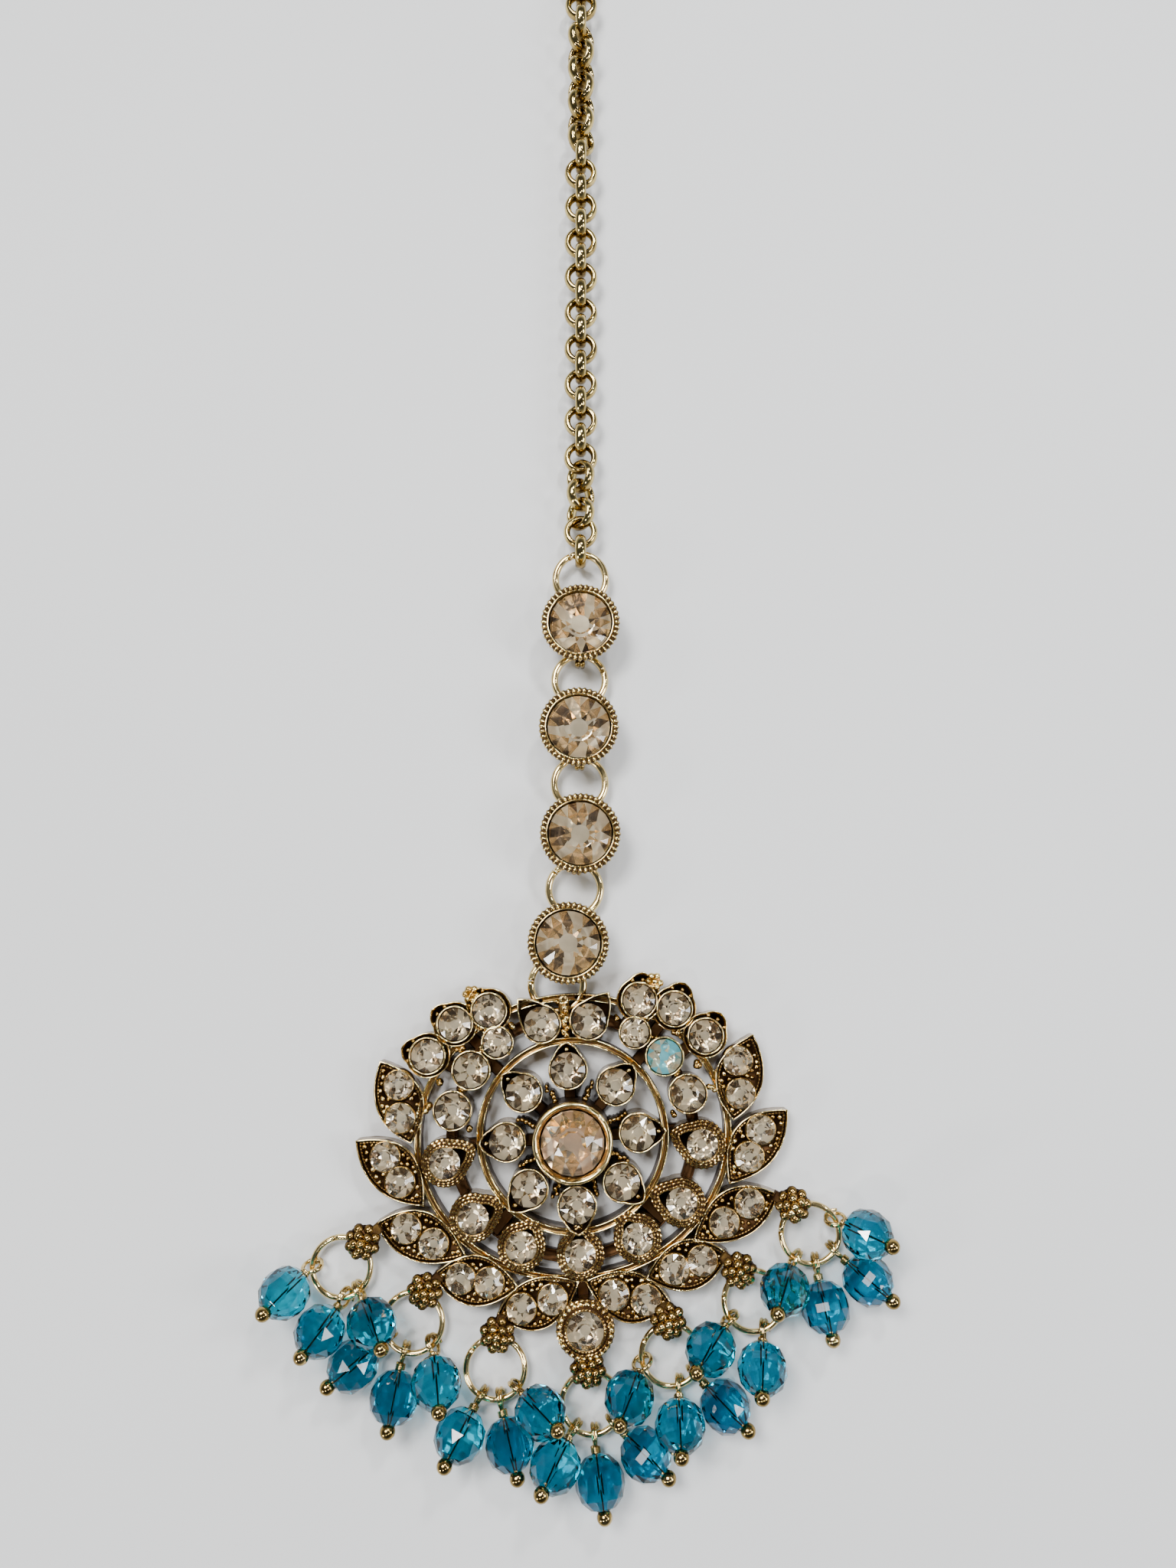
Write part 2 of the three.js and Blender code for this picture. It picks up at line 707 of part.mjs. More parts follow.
// A plain wire hook: an eye round the last link, a shank, a half-round bend and a return
function hairHook() {
  const lastLink = chainStart + (chainLinks - 1) * chainPitch;
  const eyeStart = lastLink + chainBore - clearance - hookWire;
  const eyeOuter = hookEyeInner + 2 * hookWire;
  const eyeRing = ring(eyeOuter, hookWire, ringSides, wireSides);
  eyeRing.translate(0, eyeStart + eyeOuter / 2, 0);
  const shankStart = eyeStart + eyeOuter - hookWire / 2;
  const bend = (hookBendInner + hookWire) / 2;
  const path = new THREE.CurvePath();
  const shankEnd = shankStart + hookShank;
  path.add(new THREE.LineCurve3(new THREE.Vector3(0, shankStart, 0), new THREE.Vector3(0, shankEnd, 0)));
  const arc = [];
  for (let i = 0; i <= 8; i += 1) {
    const angle = Math.PI - (i * Math.PI) / 8;
    arc.push(new THREE.Vector3(bend + bend * Math.cos(angle), shankEnd + bend * Math.sin(angle), 0));
  }
  path.add(new THREE.CatmullRomCurve3(arc));
  const tip = new THREE.Vector3(2 * bend, shankEnd - hookReturn, 0);
  path.add(new THREE.LineCurve3(arc[arc.length - 1], tip));
  const section = new THREE.Shape();
  section.absarc(0, 0, hookWire / 2, 0, 2 * Math.PI);
  const sweep = { steps: 12, extrudePath: path, bevelEnabled: false, curveSegments: 3 };
  const wire = new THREE.ExtrudeGeometry(section, sweep);
  const solid = joined([solidOf(eyeRing), solidOf(wire)]);
  const mesh = meshOf("hair_hook", solid, PALE_GOLD, 0.28, 0.95);
  mesh.position.set(topRingAt.x, 0, chainLevel);
  return mesh;
}

const jewel = new THREE.Group();
jewel.add(chain());
jewel.add(hairHook());
jewel.add(topRing());
for (let i = 0; i < settingPlaces.length; i += 1) {
  jewel.add(setting(i));
  jewel.add(settingStoneMesh(i));
}
for (let i = 0; i < 3; i += 1) {
  const centre = settingPlaces[i].clone().add(settingPlaces[i + 1]).multiplyScalar(0.5);
  jewel.add(connectorRing(`connector_ring_${i + 1}`, centre, connectorOuter));
}
jewel.add(connectorRing("pendant_ring", pendantRingAt, pendantRingOuter));
jewel.add(pendant());

export default jewel;
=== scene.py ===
"""A maang tikka: rolo chain, four collet-set crystals, an openwork flower pendant and glass bead drops."""

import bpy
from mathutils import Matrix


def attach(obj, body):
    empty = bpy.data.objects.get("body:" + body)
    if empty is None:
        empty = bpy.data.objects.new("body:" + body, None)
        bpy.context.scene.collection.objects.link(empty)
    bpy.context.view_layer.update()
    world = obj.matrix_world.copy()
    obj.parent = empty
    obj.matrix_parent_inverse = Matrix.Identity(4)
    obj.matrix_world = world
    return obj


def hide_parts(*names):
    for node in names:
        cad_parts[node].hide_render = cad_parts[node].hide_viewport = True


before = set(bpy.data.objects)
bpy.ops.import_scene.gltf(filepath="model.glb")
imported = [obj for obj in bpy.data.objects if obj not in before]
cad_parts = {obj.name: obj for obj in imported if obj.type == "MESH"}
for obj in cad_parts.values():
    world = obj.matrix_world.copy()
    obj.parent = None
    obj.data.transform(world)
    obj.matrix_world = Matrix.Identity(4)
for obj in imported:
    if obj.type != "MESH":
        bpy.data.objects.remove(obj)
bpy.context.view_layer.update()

import math
import random

import bpy
from bpy.props import FloatProperty, FloatVectorProperty, IntProperty, PointerProperty
from mathutils import Matrix, Vector

bl_info = {
    "name": "Maang Tikka",
    "version": (1, 0, 0),
    "blender": (4, 5, 0),
    "location": "3D View > Sidebar > Tikka",
    "description": "A maang tikka with chain, crystals, flower pendant and bead drops",
    "category": "Object",
}

# Lengths in this file are millimetres until a mesh is made.
MM = 0.001
# A radius or length below this counts as none.
TINY = 1e-6

# Chain, as in the CAD
LINK_OUTER = 4.65
LINK_WIRE = 1.05
LINK_COUNT = 33
LINK_PRESS = 0.1
CHAIN_LEVEL = 2.5
TOP_RING_SAG = 0.15
TWISTS = ((2, 4), (23, 29))

# Fits, as in the CAD
CLEARANCE = 0.3
STONE_GAP = 0.4
FACET_ALLOWANCE = 0.15

# Hook
HOOK_WIRE = 0.9
HOOK_EYE_INNER = 2.6
HOOK_SHANK = 12
HOOK_BEND_INNER = 4.8
HOOK_RETURN = 8

# Rings and the eyes that hold them
CONNECTOR_OUTER = 7.7
CONNECTOR_WIRE = 0.95
JUMP_OUTER = 8.0
JUMP_WIRE = 0.75
EYE_BAR = 0.7
EYE_WIDTH = 1.3
EYE_LEG = 0.6
EYE_ROOM = 0.45

# Settings in a row
SETTING_OUTER = 10.5
SETTING_STONE = 8.1
SETTING_PITCH = 13.9
SETTING_WALL = 0.6
SETTING_DEPTH = 3.2
FIRST_SETTING_Y = 24.4
SIDEWAYS = (0.9, 0.7, 0.9, -0.6)

# Pendant
HALF_WIDTH = 27.2
PENDANT_TURN = 4
RING_LEAN = 20
BAND_WIDTH = 0.9
BAND_HEIGHT = 2.6
BACK_BAR_WIDTH = 1.5
BACK_BAR_HEIGHT = 1.1
CENTRE_STONE = 7.9
CENTRE_WALL = 0.65
CENTRE_HEIGHT = 6.3
CENTRE_SEAT = 3.7
PETAL_STONE = 4.3
PETAL_HEIGHT = 4.6
COLLET_WALL = 0.3
CROWN_RISE = 0.5
OUTER_HEIGHT = 3.9
MILLED_STONE = 4.2
MILLED_WALL = 0.85
LEAF_STONE = 3.7
LEAF_HALF_WIDTH = 3
LEAF_HEIGHT = 3.0
DROP_STONE = 4.9
DROP_WALL = 1.1
ROSETTE_EYE_AHEAD = 0.8

# Bead drops
BEAD_DIAMETER = 6
BEAD_LENGTH = 6
PIN_WIRE = 0.5
PIN_LOOP_INNER = 1.9
PIN_NECK = 0.85
PIN_BALL = 1.9

# Pendant plan as shares of HALF_WIDTH: the left half mirrors the right
INNER_PETALS = {"count": 8, "radius": 0.302, "tip": 0.43, "rise": 0.018}
BANDS = (
    {"half_width": 0.427, "half_length": 0.427, "rise": 0.02, "height": 1.3},
    {"half_width": 0.72, "half_length": 0.63, "rise": 0.015, "height": 1.0},
)
BACK_BAND = {"half_width": 0.565, "half_length": 0.545, "rise": 0.012}
ROUND_CUPS = (
    (0.32, 0.463, 3.5),
    (0.449, 0.346, 4.3),
    (0.544, 0.171, 4.3),
)
FLASH_CUP = 1
FLOWER_CUPS = (
    (0.351, 0.61, 4.0),
    (0.513, 0.559, 4.0),
    (0.647, 0.425, 4.0),
)
TOP_CUP = ((0.11, 0.533), (0.215, 0.655))
MILLED_CUPS = (
    ((0.592, -0.061), (0.45, 0.005)),
    ((0.476, -0.311), (0.335, -0.255)),
    ((0.265, -0.452), (0.195, -0.345)),
)
BOTTOM_PETAL = ((0, -0.505), (0, -0.37))
LEAVES = (
    ((0.871, 0.415), (0.746, 0.033), (0.79, 0.301), (0.79, 0.151)),
    ((1, 0.063), (0.702, -0.246), (0.868, -0.017), (0.805, -0.134)),
    ((0.923, -0.309), (0.518, -0.485), (0.787, -0.338), (0.665, -0.415)),
    ((0.673, -0.551), (0.29, -0.632), (0.551, -0.574), (0.421, -0.601)),
    ((0.397, -0.75), (0.015, -0.625), (0.283, -0.724), (0.14, -0.693)),
)
DROP_CUP = (0, -0.83)
TOP_EYE = (0, 0.585)
ROSETTES = {
    "a": ((-0.985, -0.382), 226, (-0.9, -0.32)),
    "b": ((-0.713, -0.614), 245, (-0.64, -0.55)),
    "c": ((-0.397, -0.824), 262, (-0.37, -0.74)),
    "d": ((0, -1), 271, (0, -0.9)),
    "e": ((0.375, -0.82), 271, (0.36, -0.74)),
    "f": ((0.713, -0.625), 291, (0.64, -0.55)),
    "g": ((0.985, -0.357), 297, (0.9, -0.31)),
}

# Bead drops on each ring: the place on it, and the pin's azimuth and pitch, in degrees
DROPS = {
    "a": ((177, 222, 50), (278, 233, 44), (309, 309, 44)),
    "b": ((207, 217, 19), (252, 261, 19), (313, 288, 50)),
    "c": ((239, 239, 36), (279, 287, 19), (319, 337, 50)),
    "d": ((233, 233, 46), (275, 279, 19), (322, 321, 19)),
    "e": ((193, 238, 50), (284, 268, 50), (323, 318, 19)),
    "f": ((214, 223, 43), (288, 258, 50)),
    "g": ((235, 235, 50), (278, 280, 19), (325, 321, 19), (28, 343, 50)),
}

# Finish details
LINK_STEPS = 32
LINK_WIRE_SIDES = 12
LINK_INSIDE = 0.75
WIRE_END_GAP = 0.012
JUMP_GAP_TURN = 2.2
ROPE_RADIUS = 0.46
OVAL_SIDES = 96
SEAT_DEPTH = 1.7
CULET_SHARE = 0.3
TEARDROP_SIDES = 30
TEARDROP_BULGE = 0.1
EYE_CORNER = 0.25
EYE_RIDGE_SHIFT = 0.32
EYE_RIDGE_RADIUS = 0.34
HOOK_LOOP_GAP = 0.35
PIN_LOOP_GAP = 0.35
PIN_TAIL_REACH = 0.3
COIL_TURNS = 3.1
PIN_CORE_RADIUS = 0.11
COIL_RADIUS = 0.475
COIL_WIRE_RADIUS = 0.17
TAIL_WIRE_RADIUS = 0.19
LEAF_STEPS = 22
GRANULE_TRIES = 900
GIRDLE_DROP = 0.22
PAVILION_DEPTH = 1.15
STONE_GRIP = 1.01
# Share of a stone's width that a milled rim leaves free
MILLED_SHOWN = 0.92
# Each ring of balls in a rosette: how many, their reach, turn, height and radius, the patina above and below,
# which paints each ball lit on top and shaded below
ROSETTE_ROWS = (
    (8, 1.62, 0, 0.72, 0.68, 0.3, 1.35),
    (5, 0.92, 0.4, 1.35, 0.62, 0.24, 1.3),
    (1, 0, 0, 1.75, 0.6, 0.16, 1.2),
)
# Which of a stone's three foils backs a facet: neighbouring facets take entries a stride apart; on most
# stones the third foil is a dark copy that paints shade on its facets
FOIL_ORDER = (0, 1, 2, 0, 1, 2, 0, 1, 0, 2, 1, 1, 0)
FOIL_STRIDE = 5

# Stage, in metres: the camera's place, tilt and lens are solved from the photo
CAMERA_PLACE = (0.0019, 0.0241, 0.1517)
CAMERA_TILT = 8
FOCAL_PIXELS = 1500
PICTURE_PIXELS = 2048
FILM_HEIGHT = 36
FLOOR_REACH = 4
# Each light's place, the point it faces, its size, power and colour
LIGHTS = {
    "key_light": ((-0.14, 0.2, 0.4), (0, 0.05, 0), 0.12, 1.5, (1.0, 0.98, 0.95)),
    "fill_light": ((0.34, -0.02, 0.24), (0, 0.04, 0), 0.12, 0.9, (0.95, 0.97, 1.0)),
    "glint_light": ((0.1, 0.3, 0.3), (0, 0, 0), 0.04, 0.8, (1, 1, 1)),
    "low_light": ((-0.25, -0.2, 0.14), (0, 0, 0), 0.05, 0.4, (1, 0.98, 0.95)),
}
# Small lights that strike sparks in the facets, all alike but for their places
SPARKLE = ((0, 0, 0), 0.022, 0.22, (1, 0.99, 0.96))
SPARKLE_PLACES = (
    (-0.2, 0.12, 0.32),
    (0.14, -0.1, 0.33),
    (0.02, 0.2, 0.42),
    (-0.08, -0.16, 0.3),
    (0.24, 0.14, 0.28),
)
SUN_WAY = (0.35, -0.45, -1)
SUN_POWER = 1.8
SUN_SPREAD = 24
HORIZON_COLOUR = (0.62, 0.64, 0.66, 1)
ZENITH_COLOUR = (0.06, 0.065, 0.07, 1)
HORIZON_HEIGHT = 0.55


# Plan helpers


def share(x, y):
    return Vector((x * HALF_WIDTH, y * HALF_WIDTH))


def towards(start, end, length):
    return start + (end - start).normalized() * length


def heading_of(start, end):
    step = end - start
    return math.atan2(step.y, step.x)


def polar(radius, angle):
    return Vector((radius * math.cos(angle), radius * math.sin(angle)))


def eye_top(wire):
    return EYE_BAR + 2 * EYE_ROOM + wire


def ring_level(wire):
    return EYE_BAR + EYE_ROOM + wire / 2


def sided(point, sign):
    """A place given in shares, on the right half for sign 1 and on the left for -1."""
    return share(sign * point[0], point[1])


def arc(radius, start, end, steps):
    """Points on an arc round the origin, both ends included."""
    return [polar(radius, start + (end - start) * i / steps) for i in range(steps + 1)]


SETTING_PLACES = [
    Vector((x, FIRST_SETTING_Y + (len(SIDEWAYS) - 1 - i) * SETTING_PITCH)) for i, x in enumerate(SIDEWAYS)
]
SETTING_BASE = eye_top(CONNECTOR_WIRE)
SETTING_TOP = SETTING_BASE + SETTING_DEPTH
CONNECTOR_RADIUS = (CONNECTOR_OUTER - CONNECTOR_WIRE) / 2
JUMP_RADIUS = (JUMP_OUTER - JUMP_WIRE) / 2
JUMP_LEVEL = ring_level(JUMP_WIRE)
ROSETTE_BASE = eye_top(JUMP_WIRE)
TURN = Matrix.Rotation(math.radians(PENDANT_TURN), 4, "Z")
TOP_RING_AT = Vector((SETTING_PLACES[0].x, SETTING_PLACES[0].y + SETTING_PITCH / 2))
CHAIN_BORE = (LINK_OUTER - 2 * LINK_WIRE) / 2
CHAIN_START = TOP_RING_AT.y + CONNECTOR_RADIUS + CHAIN_BORE - (
    CONNECTOR_WIRE / 2 + CLEARANCE + FACET_ALLOWANCE
)
CHAIN_PITCH = LINK_OUTER - 2 * LINK_WIRE + LINK_PRESS


def pendant_ring_place():
    eye_at = (TURN @ share(*TOP_EYE).to_3d()).to_2d()
    step = towards(eye_at, SETTING_PLACES[-1], CONNECTOR_RADIUS) - eye_at
    return eye_at + Matrix.Rotation(math.radians(RING_LEAN), 2) @ step


PENDANT_RING_AT = pendant_ring_place()


def ahead_of(rose, distance):
    place, heading, _ = ROSETTES[rose]
    return share(*place) + polar(distance, math.radians(heading))


# Mesh building: a Shape gathers points and faces, each point with a share of patina and painted shade


class Shape:
    def __init__(self, place=None):
        self.points = []
        self.patina_and_shade = []
        self.faces = []
        self.finishes = []
        self.smooth = []
        self.place = place or Matrix.Identity(4)

    def add(self, points, faces, finish=0, smooth=True, patina_and_shade=0.3):
        first = len(self.points)
        self.points.extend(self.place @ Vector(point) for point in points)
        if isinstance(patina_and_shade, (int, float)):
            patina_and_shade = [patina_and_shade] * len(points)
        self.patina_and_shade.extend(patina_and_shade)
        for face in faces:
            self.faces.append([first + corner for corner in face])
            self.finishes.append(finish)
            self.smooth.append(smooth)

    def loft(self, rings, patina_and_shade, closed=False, finish=0, smooth=True):
        """Rings of equal length, joined in order; the first and last are capped unless closed."""
        count = len(rings[0])
        points = [point for ring in rings for point in ring]
        shares = [value for value in patina_and_shade for _ in range(count)]
        faces = []
        last = len(rings) if closed else len(rings) - 1
        for i in range(last):
            low, high = i * count, ((i + 1) % len(rings)) * count
            for j in range(count):
                k = (j + 1) % count
                faces.append((low + j, low + k, high + k, high + j))
        if not closed:
            top = last * count
            faces += [tuple(reversed(range(count))), tuple(range(top, top + count))]
        self.add(points, faces, finish, smooth, shares)

    def walls(self, outline, sections):
        """A cup or plate; each section is a step out from the outline, a height and a share of patina and
        painted shade.
        """
        rings = [at_height(offset(outline, out), height) for out, height, _ in sections]
        self.loft(rings, [patina_and_shade for _, _, patina_and_shade in sections])

    def sweep(self, path, radius, sides, closed=False, finish=0, patina_and_shade=0.15):
        """A wire along a path; radius is one number or one for each point."""
        points = [Vector(point) for point in path]
        count = len(points)
        radii = [radius] * count if isinstance(radius, (int, float)) else list(radius)
        rings = []
        normal = None
        for i, point in enumerate(points):
            before = points[i - 1] if i or closed else point
            after = points[(i + 1) % count] if i + 1 < count or closed else point
            along = (after - before).normalized()
            if normal is None:
                normal = along.orthogonal()
            normal = (normal - along * normal.dot(along)).normalized()
            side = along.cross(normal)
            ring = []
            for j in range(sides):
                angle = 2 * math.pi * j / sides
                ring.append(point + (normal * math.cos(angle) + side * math.sin(angle)) * radii[i])
            rings.append(ring)
        shares = patina_and_shade if isinstance(patina_and_shade, list) else [patina_and_shade] * count
        self.loft(rings, shares, closed, finish)

    def lathe(self, profile, sides, at=(0, 0), finish=0):
        """Each row of the profile is a radius, a height and a share of patina and painted shade."""
        points, values, starts = [], [], []
        for radius, height, value in profile:
            starts.append(len(points))
            around = 1 if radius < TINY else sides
            for j in range(around):
                spot = polar(radius, 2 * math.pi * j / sides)
                points.append((at[0] + spot.x, at[1] + spot.y, height))
                values.append(value)
        faces = []
        for i in range(len(profile) - 1):
            low, high = starts[i], starts[i + 1]
            for j in range(sides):
                k = (j + 1) % sides
                if profile[i][0] < TINY:
                    faces.append((low, high + k, high + j))
                elif profile[i + 1][0] < TINY:
                    faces.append((low + j, low + k, high))
                else:
                    faces.append((low + j, low + k, high + k, high + j))
        self.add(points, faces, finish, True, values)

    def ball(self, centre, radius, finish=0, patina_and_shade=0.1, sides=8, rows=5, foot=None):
        """The patina goes from foot at the lowest point to patina at the highest; a darker foot paints shade
        under the ball.
        """
        foot = patina_and_shade if foot is None else foot
        profile = []
        for i in range(rows + 1):
            slope = math.pi * i / rows
            lift = -math.cos(slope)
            value = foot + (patina_and_shade - foot) * (lift + 1) / 2
            profile.append((math.sin(slope) * radius, centre[2] + lift * radius, value))
        self.lathe(profile, sides, centre, finish)

    def mesh(self, name):
        """The gathered faces as a mesh, in metres."""
        made = bpy.data.meshes.new(name)
        made.from_pydata([point * MM for point in self.points], [], self.faces)
        return made

    def piece(self, name, finishes, node):
        """Makes the mesh object, riding on the jewel's one body in place of a node."""
        mesh = self.mesh(name)
        for finish in finishes:
            mesh.materials.append(finish)
        mesh.polygons.foreach_set("material_index", self.finishes)
        mesh.polygons.foreach_set("use_smooth", self.smooth)
        give_patina_and_shade(mesh, self.patina_and_shade)
        mesh.validate()
        mesh.update()
        made = bpy.data.objects.new(name, mesh)
        bpy.context.scene.collection.objects.link(made)
        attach(made, "root")
        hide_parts(node)
        return made

    def frame_piece(self, name):
        """One of the pieces that together stand for the cast frame."""
        return self.piece(name, [antique_gold()], "pendant_frame")


# Stores each point's share of darkening: patina in the hollows and painted shade in recesses and on lower
# walls
def give_patina_and_shade(mesh, values):
    shares = mesh.attributes.new("patina_and_shade", "FLOAT", "POINT")
    shares.data.foreach_set("value", values)


def offset(outline, distance):
    """Moves a closed counter-clockwise outline outwards by distance."""
    moved = []
    count = len(outline)
    for i, point in enumerate(outline):
        before = (point - outline[i - 1]).normalized()
        after = (outline[(i + 1) % count] - point).normalized()
        way = Vector((before.y + after.y, -before.x - after.x))
        if way.length < TINY:
            way = Vector((before.y, -before.x))
        way.normalize()
        spread = max(0.5, way.dot(Vector((before.y, -before.x))))
        moved.append(point + way * (distance / spread))
    return moved


def at_height(outline, height):
    return [(*point, height) for point in outline]


def circle(at, radius, count=32):
    return [Vector(at) + polar(radius, 2 * math.pi * i / count) for i in range(count)]


def oval(row, grow):
    across = row["half_width"] * HALF_WIDTH + grow
    along = row["half_length"] * HALF_WIDTH + grow
    lift = row["rise"] * HALF_WIDTH
    angles = [2 * math.pi * i / OVAL_SIDES for i in range(OVAL_SIDES)]
    return [Vector((across * math.cos(a), along * math.sin(a) + lift)) for a in angles]


def teardrop(at, tip, radius):
    """A round with one pointed side, counter-clockwise, starting at the tip."""
    heading = heading_of(at, tip)
    flank = math.acos(min(0.95, radius / (tip - at).length))
    first = at + polar(radius, heading + flank)
    last = at + polar(radius, heading - flank)
    steps = (0.25, 0.5, 0.75)
    bulges = [TEARDROP_BULGE * radius * math.sin(math.pi * step) for step in steps]
    outline = [tip]
    for step, bulge in zip(steps, bulges):
        outline.append(tip.lerp(first, step) + polar(bulge, heading + flank))
    start = heading + flank
    outline += [at + spot for spot in arc(radius, start, start + 2 * (math.pi - flank), TEARDROP_SIDES)]
    for step, bulge in zip(steps, bulges):
        outline.append(last.lerp(tip, step) + polar(bulge, heading - flank))
    return outline


def collet(shape, outline, top, wall):
    """A cup with a fine polished rim round its seat, darkening down its walls and into the seat: patina and
    painted shade.
    """
    shape.walls(outline, (
        (-0.1, 0, 0.7),
        (0, 0.15, 0.5),
        (-0.02, top - 0.9, 0.4),
        (-0.03, top - 0.36, 0.5),
        (0.03, top - 0.2, 0.2),
        (0.03, top - 0.08, 0.0),
        (-0.05, top, 0.0),
        (-0.13, top - 0.06, 0.1),
        (-wall + 0.1, top - 0.22, 0.9),
        (-wall, top - 0.45, 1.0),
        (-wall - 0.05, top - SEAT_DEPTH, 1.0),
    ))


def even(outline, step):
    """The same closed outline with points about a step apart, an even number of them."""
    fine = []
    count = len(outline)
    for i, point in enumerate(outline):
        after = outline[(i + 1) % count]
        fine.append(point)
        steps = round((after - point).length / step)
        fine.extend(point.lerp(after, k / steps) for k in range(1, steps))
    total = sum((fine[i] - fine[i - 1]).length for i in range(len(fine)))
    wanted = 2 * round(total / step / 2)
    walked, result, reached = 0.0, [], 0.0
    for i, point in enumerate(fine):
        after = fine[(i + 1) % len(fine)]
        length = (after - point).length
        while reached < walked + length and len(result) < wanted:
            result.append(point.lerp(after, (reached - walked) / length))
            reached += total / wanted
        walked += length
    return result


def nubs(shape, outline, height, radius, pitch, patina_and_shade):
    """A beaded wire along a closed outline, dark in the dips between beads: patina and painted shade."""
    path = at_height(even(outline, pitch / 2), height)
    radii = [radius if i % 2 else radius / 2 for i in range(len(path))]
    shape.sweep(path, radii, 6, True, patina_and_shade=[patina_and_shade if i % 2 else 1.0 for i in range(len(path))])


def milled_wall(shape, outline, top, wall):
    """A collet whose broad sloping rim carries three rows of milled nubs, dark between the rows and into the
    seat: patina and painted shade.
    """
    shape.walls(outline, (
        (-0.15, 0, 0.7),
        (0, 0.15, 0.5),
        (0, top - 1.1, 0.45),
        (0.03, top - 0.9, 1.0),
        (-0.06, top - 0.84, 1.0),
        (-0.12, top - 0.88, 1.2),
        (-wall * 0.6, top - 0.4, 1.0),
        (-wall + 0.06, top - 0.24, 1.0),
        (-wall + 0.01, top - 0.14, 0.9),
        (-wall - 0.08, top - 0.06, 0.3),
        (-wall - 0.18, top - 0.15, 0.8),
        (-wall - 0.26, top - SEAT_DEPTH, 1.0),
    ))
    nubs(shape, offset(outline, -0.16), top - 0.72, 0.3, 0.64, 0.05)
    nubs(shape, offset(outline, -wall * 0.5 - 0.06), top - 0.46, 0.27, 0.62, 0.1)
    nubs(shape, offset(outline, -wall + 0.02), top - 0.16, 0.17, 0.42, 0.05)


def facet_rows(shape, at, radius, girdle, table, share_of_table, sides, turn, finish, down=False):
    """Table, star, main and girdle facets of one half of a cut stone."""
    step = 2 * math.pi / sides
    flat = [at + polar(radius * share_of_table, turn + (i + 0.5) * step) for i in range(sides)]
    star_radius = radius * (0.36 + 0.62 * share_of_table)
    stars = [at + polar(star_radius, turn + i * step) for i in range(sides)]
    edge = [at + polar(radius, turn + i * step / 2) for i in range(2 * sides)]
    star_height = girdle + (table - girdle) * 0.62
    points = at_height(flat, table) + at_height(stars, star_height) + at_height(edge, girdle)
    faces = [tuple(range(sides))]
    for i in range(sides):
        before = (i - 1) % sides
        after = (i + 1) % sides
        star = sides + i
        faces.append((before, star, i))
        mid = 2 * sides + 2 * i
        faces.append((i, star, mid + 1, sides + after))
        faces.append((star, mid, mid + 1))
        faces.append((star, 2 * sides + (2 * i - 1) % (2 * sides), mid))
    if down:
        faces = [tuple(reversed(face)) for face in faces]
    shape.add(points, faces, finish, False, 0)
    # Pavilion facets take the stone's foils in turn; the dark one paints shade on its facets
    if down:
        for i in range(len(faces) - 1):
            entry = (i * FOIL_STRIDE + len(shape.points)) % len(FOIL_ORDER)
            shape.finishes[-1 - i] = finish + FOIL_ORDER[entry]


def gem(shape, at, radius, girdle, table, low, sides, turn, table_share, foil=1):
    """A cut stone: clear crown, in the first finish, over a foil-backed pavilion."""
    at = Vector(at)
    belt = 0.05 * radius
    facet_rows(shape, at, radius, girdle + belt, table, table_share, sides, turn, 0)
    edge = [at + polar(radius, turn + i * math.pi / sides) for i in range(2 * sides)]
    count = len(edge)
    points = at_height(edge, girdle) + at_height(edge, girdle + belt)
    faces = [(i, (i + 1) % count, count + (i + 1) % count, count + i) for i in range(count)]
    shape.add(points, faces, 0, False, 0)
    facet_rows(shape, at, radius, girdle, low, CULET_SHARE, sides, turn, foil, True)


def staple(shape, at, heading, wire, top):
    """The eye that holds a ring: two legs and a bar under the wire, in two ridges side by side."""
    half = wire / 2 + EYE_ROOM + EYE_LEG / 2
    along = polar(1, heading)
    low = EYE_BAR / 2
    profile = [(-half, top), (-half, low + EYE_CORNER), (-half + EYE_CORNER, low),
               (half - EYE_CORNER, low), (half, low + EYE_CORNER), (half, top)]
    for shift in (-EYE_RIDGE_SHIFT, EYE_RIDGE_SHIFT):
        middle = at + Vector((-along.y, along.x)) * shift
        path = [(*(middle + along * reach), height) for reach, height in profile]
        shape.sweep(path, EYE_RIDGE_RADIUS, 8, patina_and_shade=0.3)


def block(shape, start, end, width, low, high, patina_and_shade=0.85):
    """A bar on the back, with its top edges eased."""
    along = (end - start).normalized()
    side = Vector((-along.y, along.x)) * width / 2
    corners = [start - side, end - side, end + side, start + side]
    rings = [at_height(corners, low), at_height(corners, high - 0.15),
             at_height(offset(corners, -0.14), high)]
    shape.loft(rings, [patina_and_shade] * 3, smooth=False)


def wire_ring(shape, place, radius, wire, start):
    """A ring of round wire with its two cut ends butted; place is a point or a matrix."""
    if isinstance(place, Vector):
        place = Matrix.Translation(place)
    turn = arc(radius, start + WIRE_END_GAP, start + 2 * math.pi - WIRE_END_GAP, 48)
    shape.sweep([place @ spot.to_3d() for spot in turn], wire / 2, 10, patina_and_shade=0.12)


# Node groups and materials


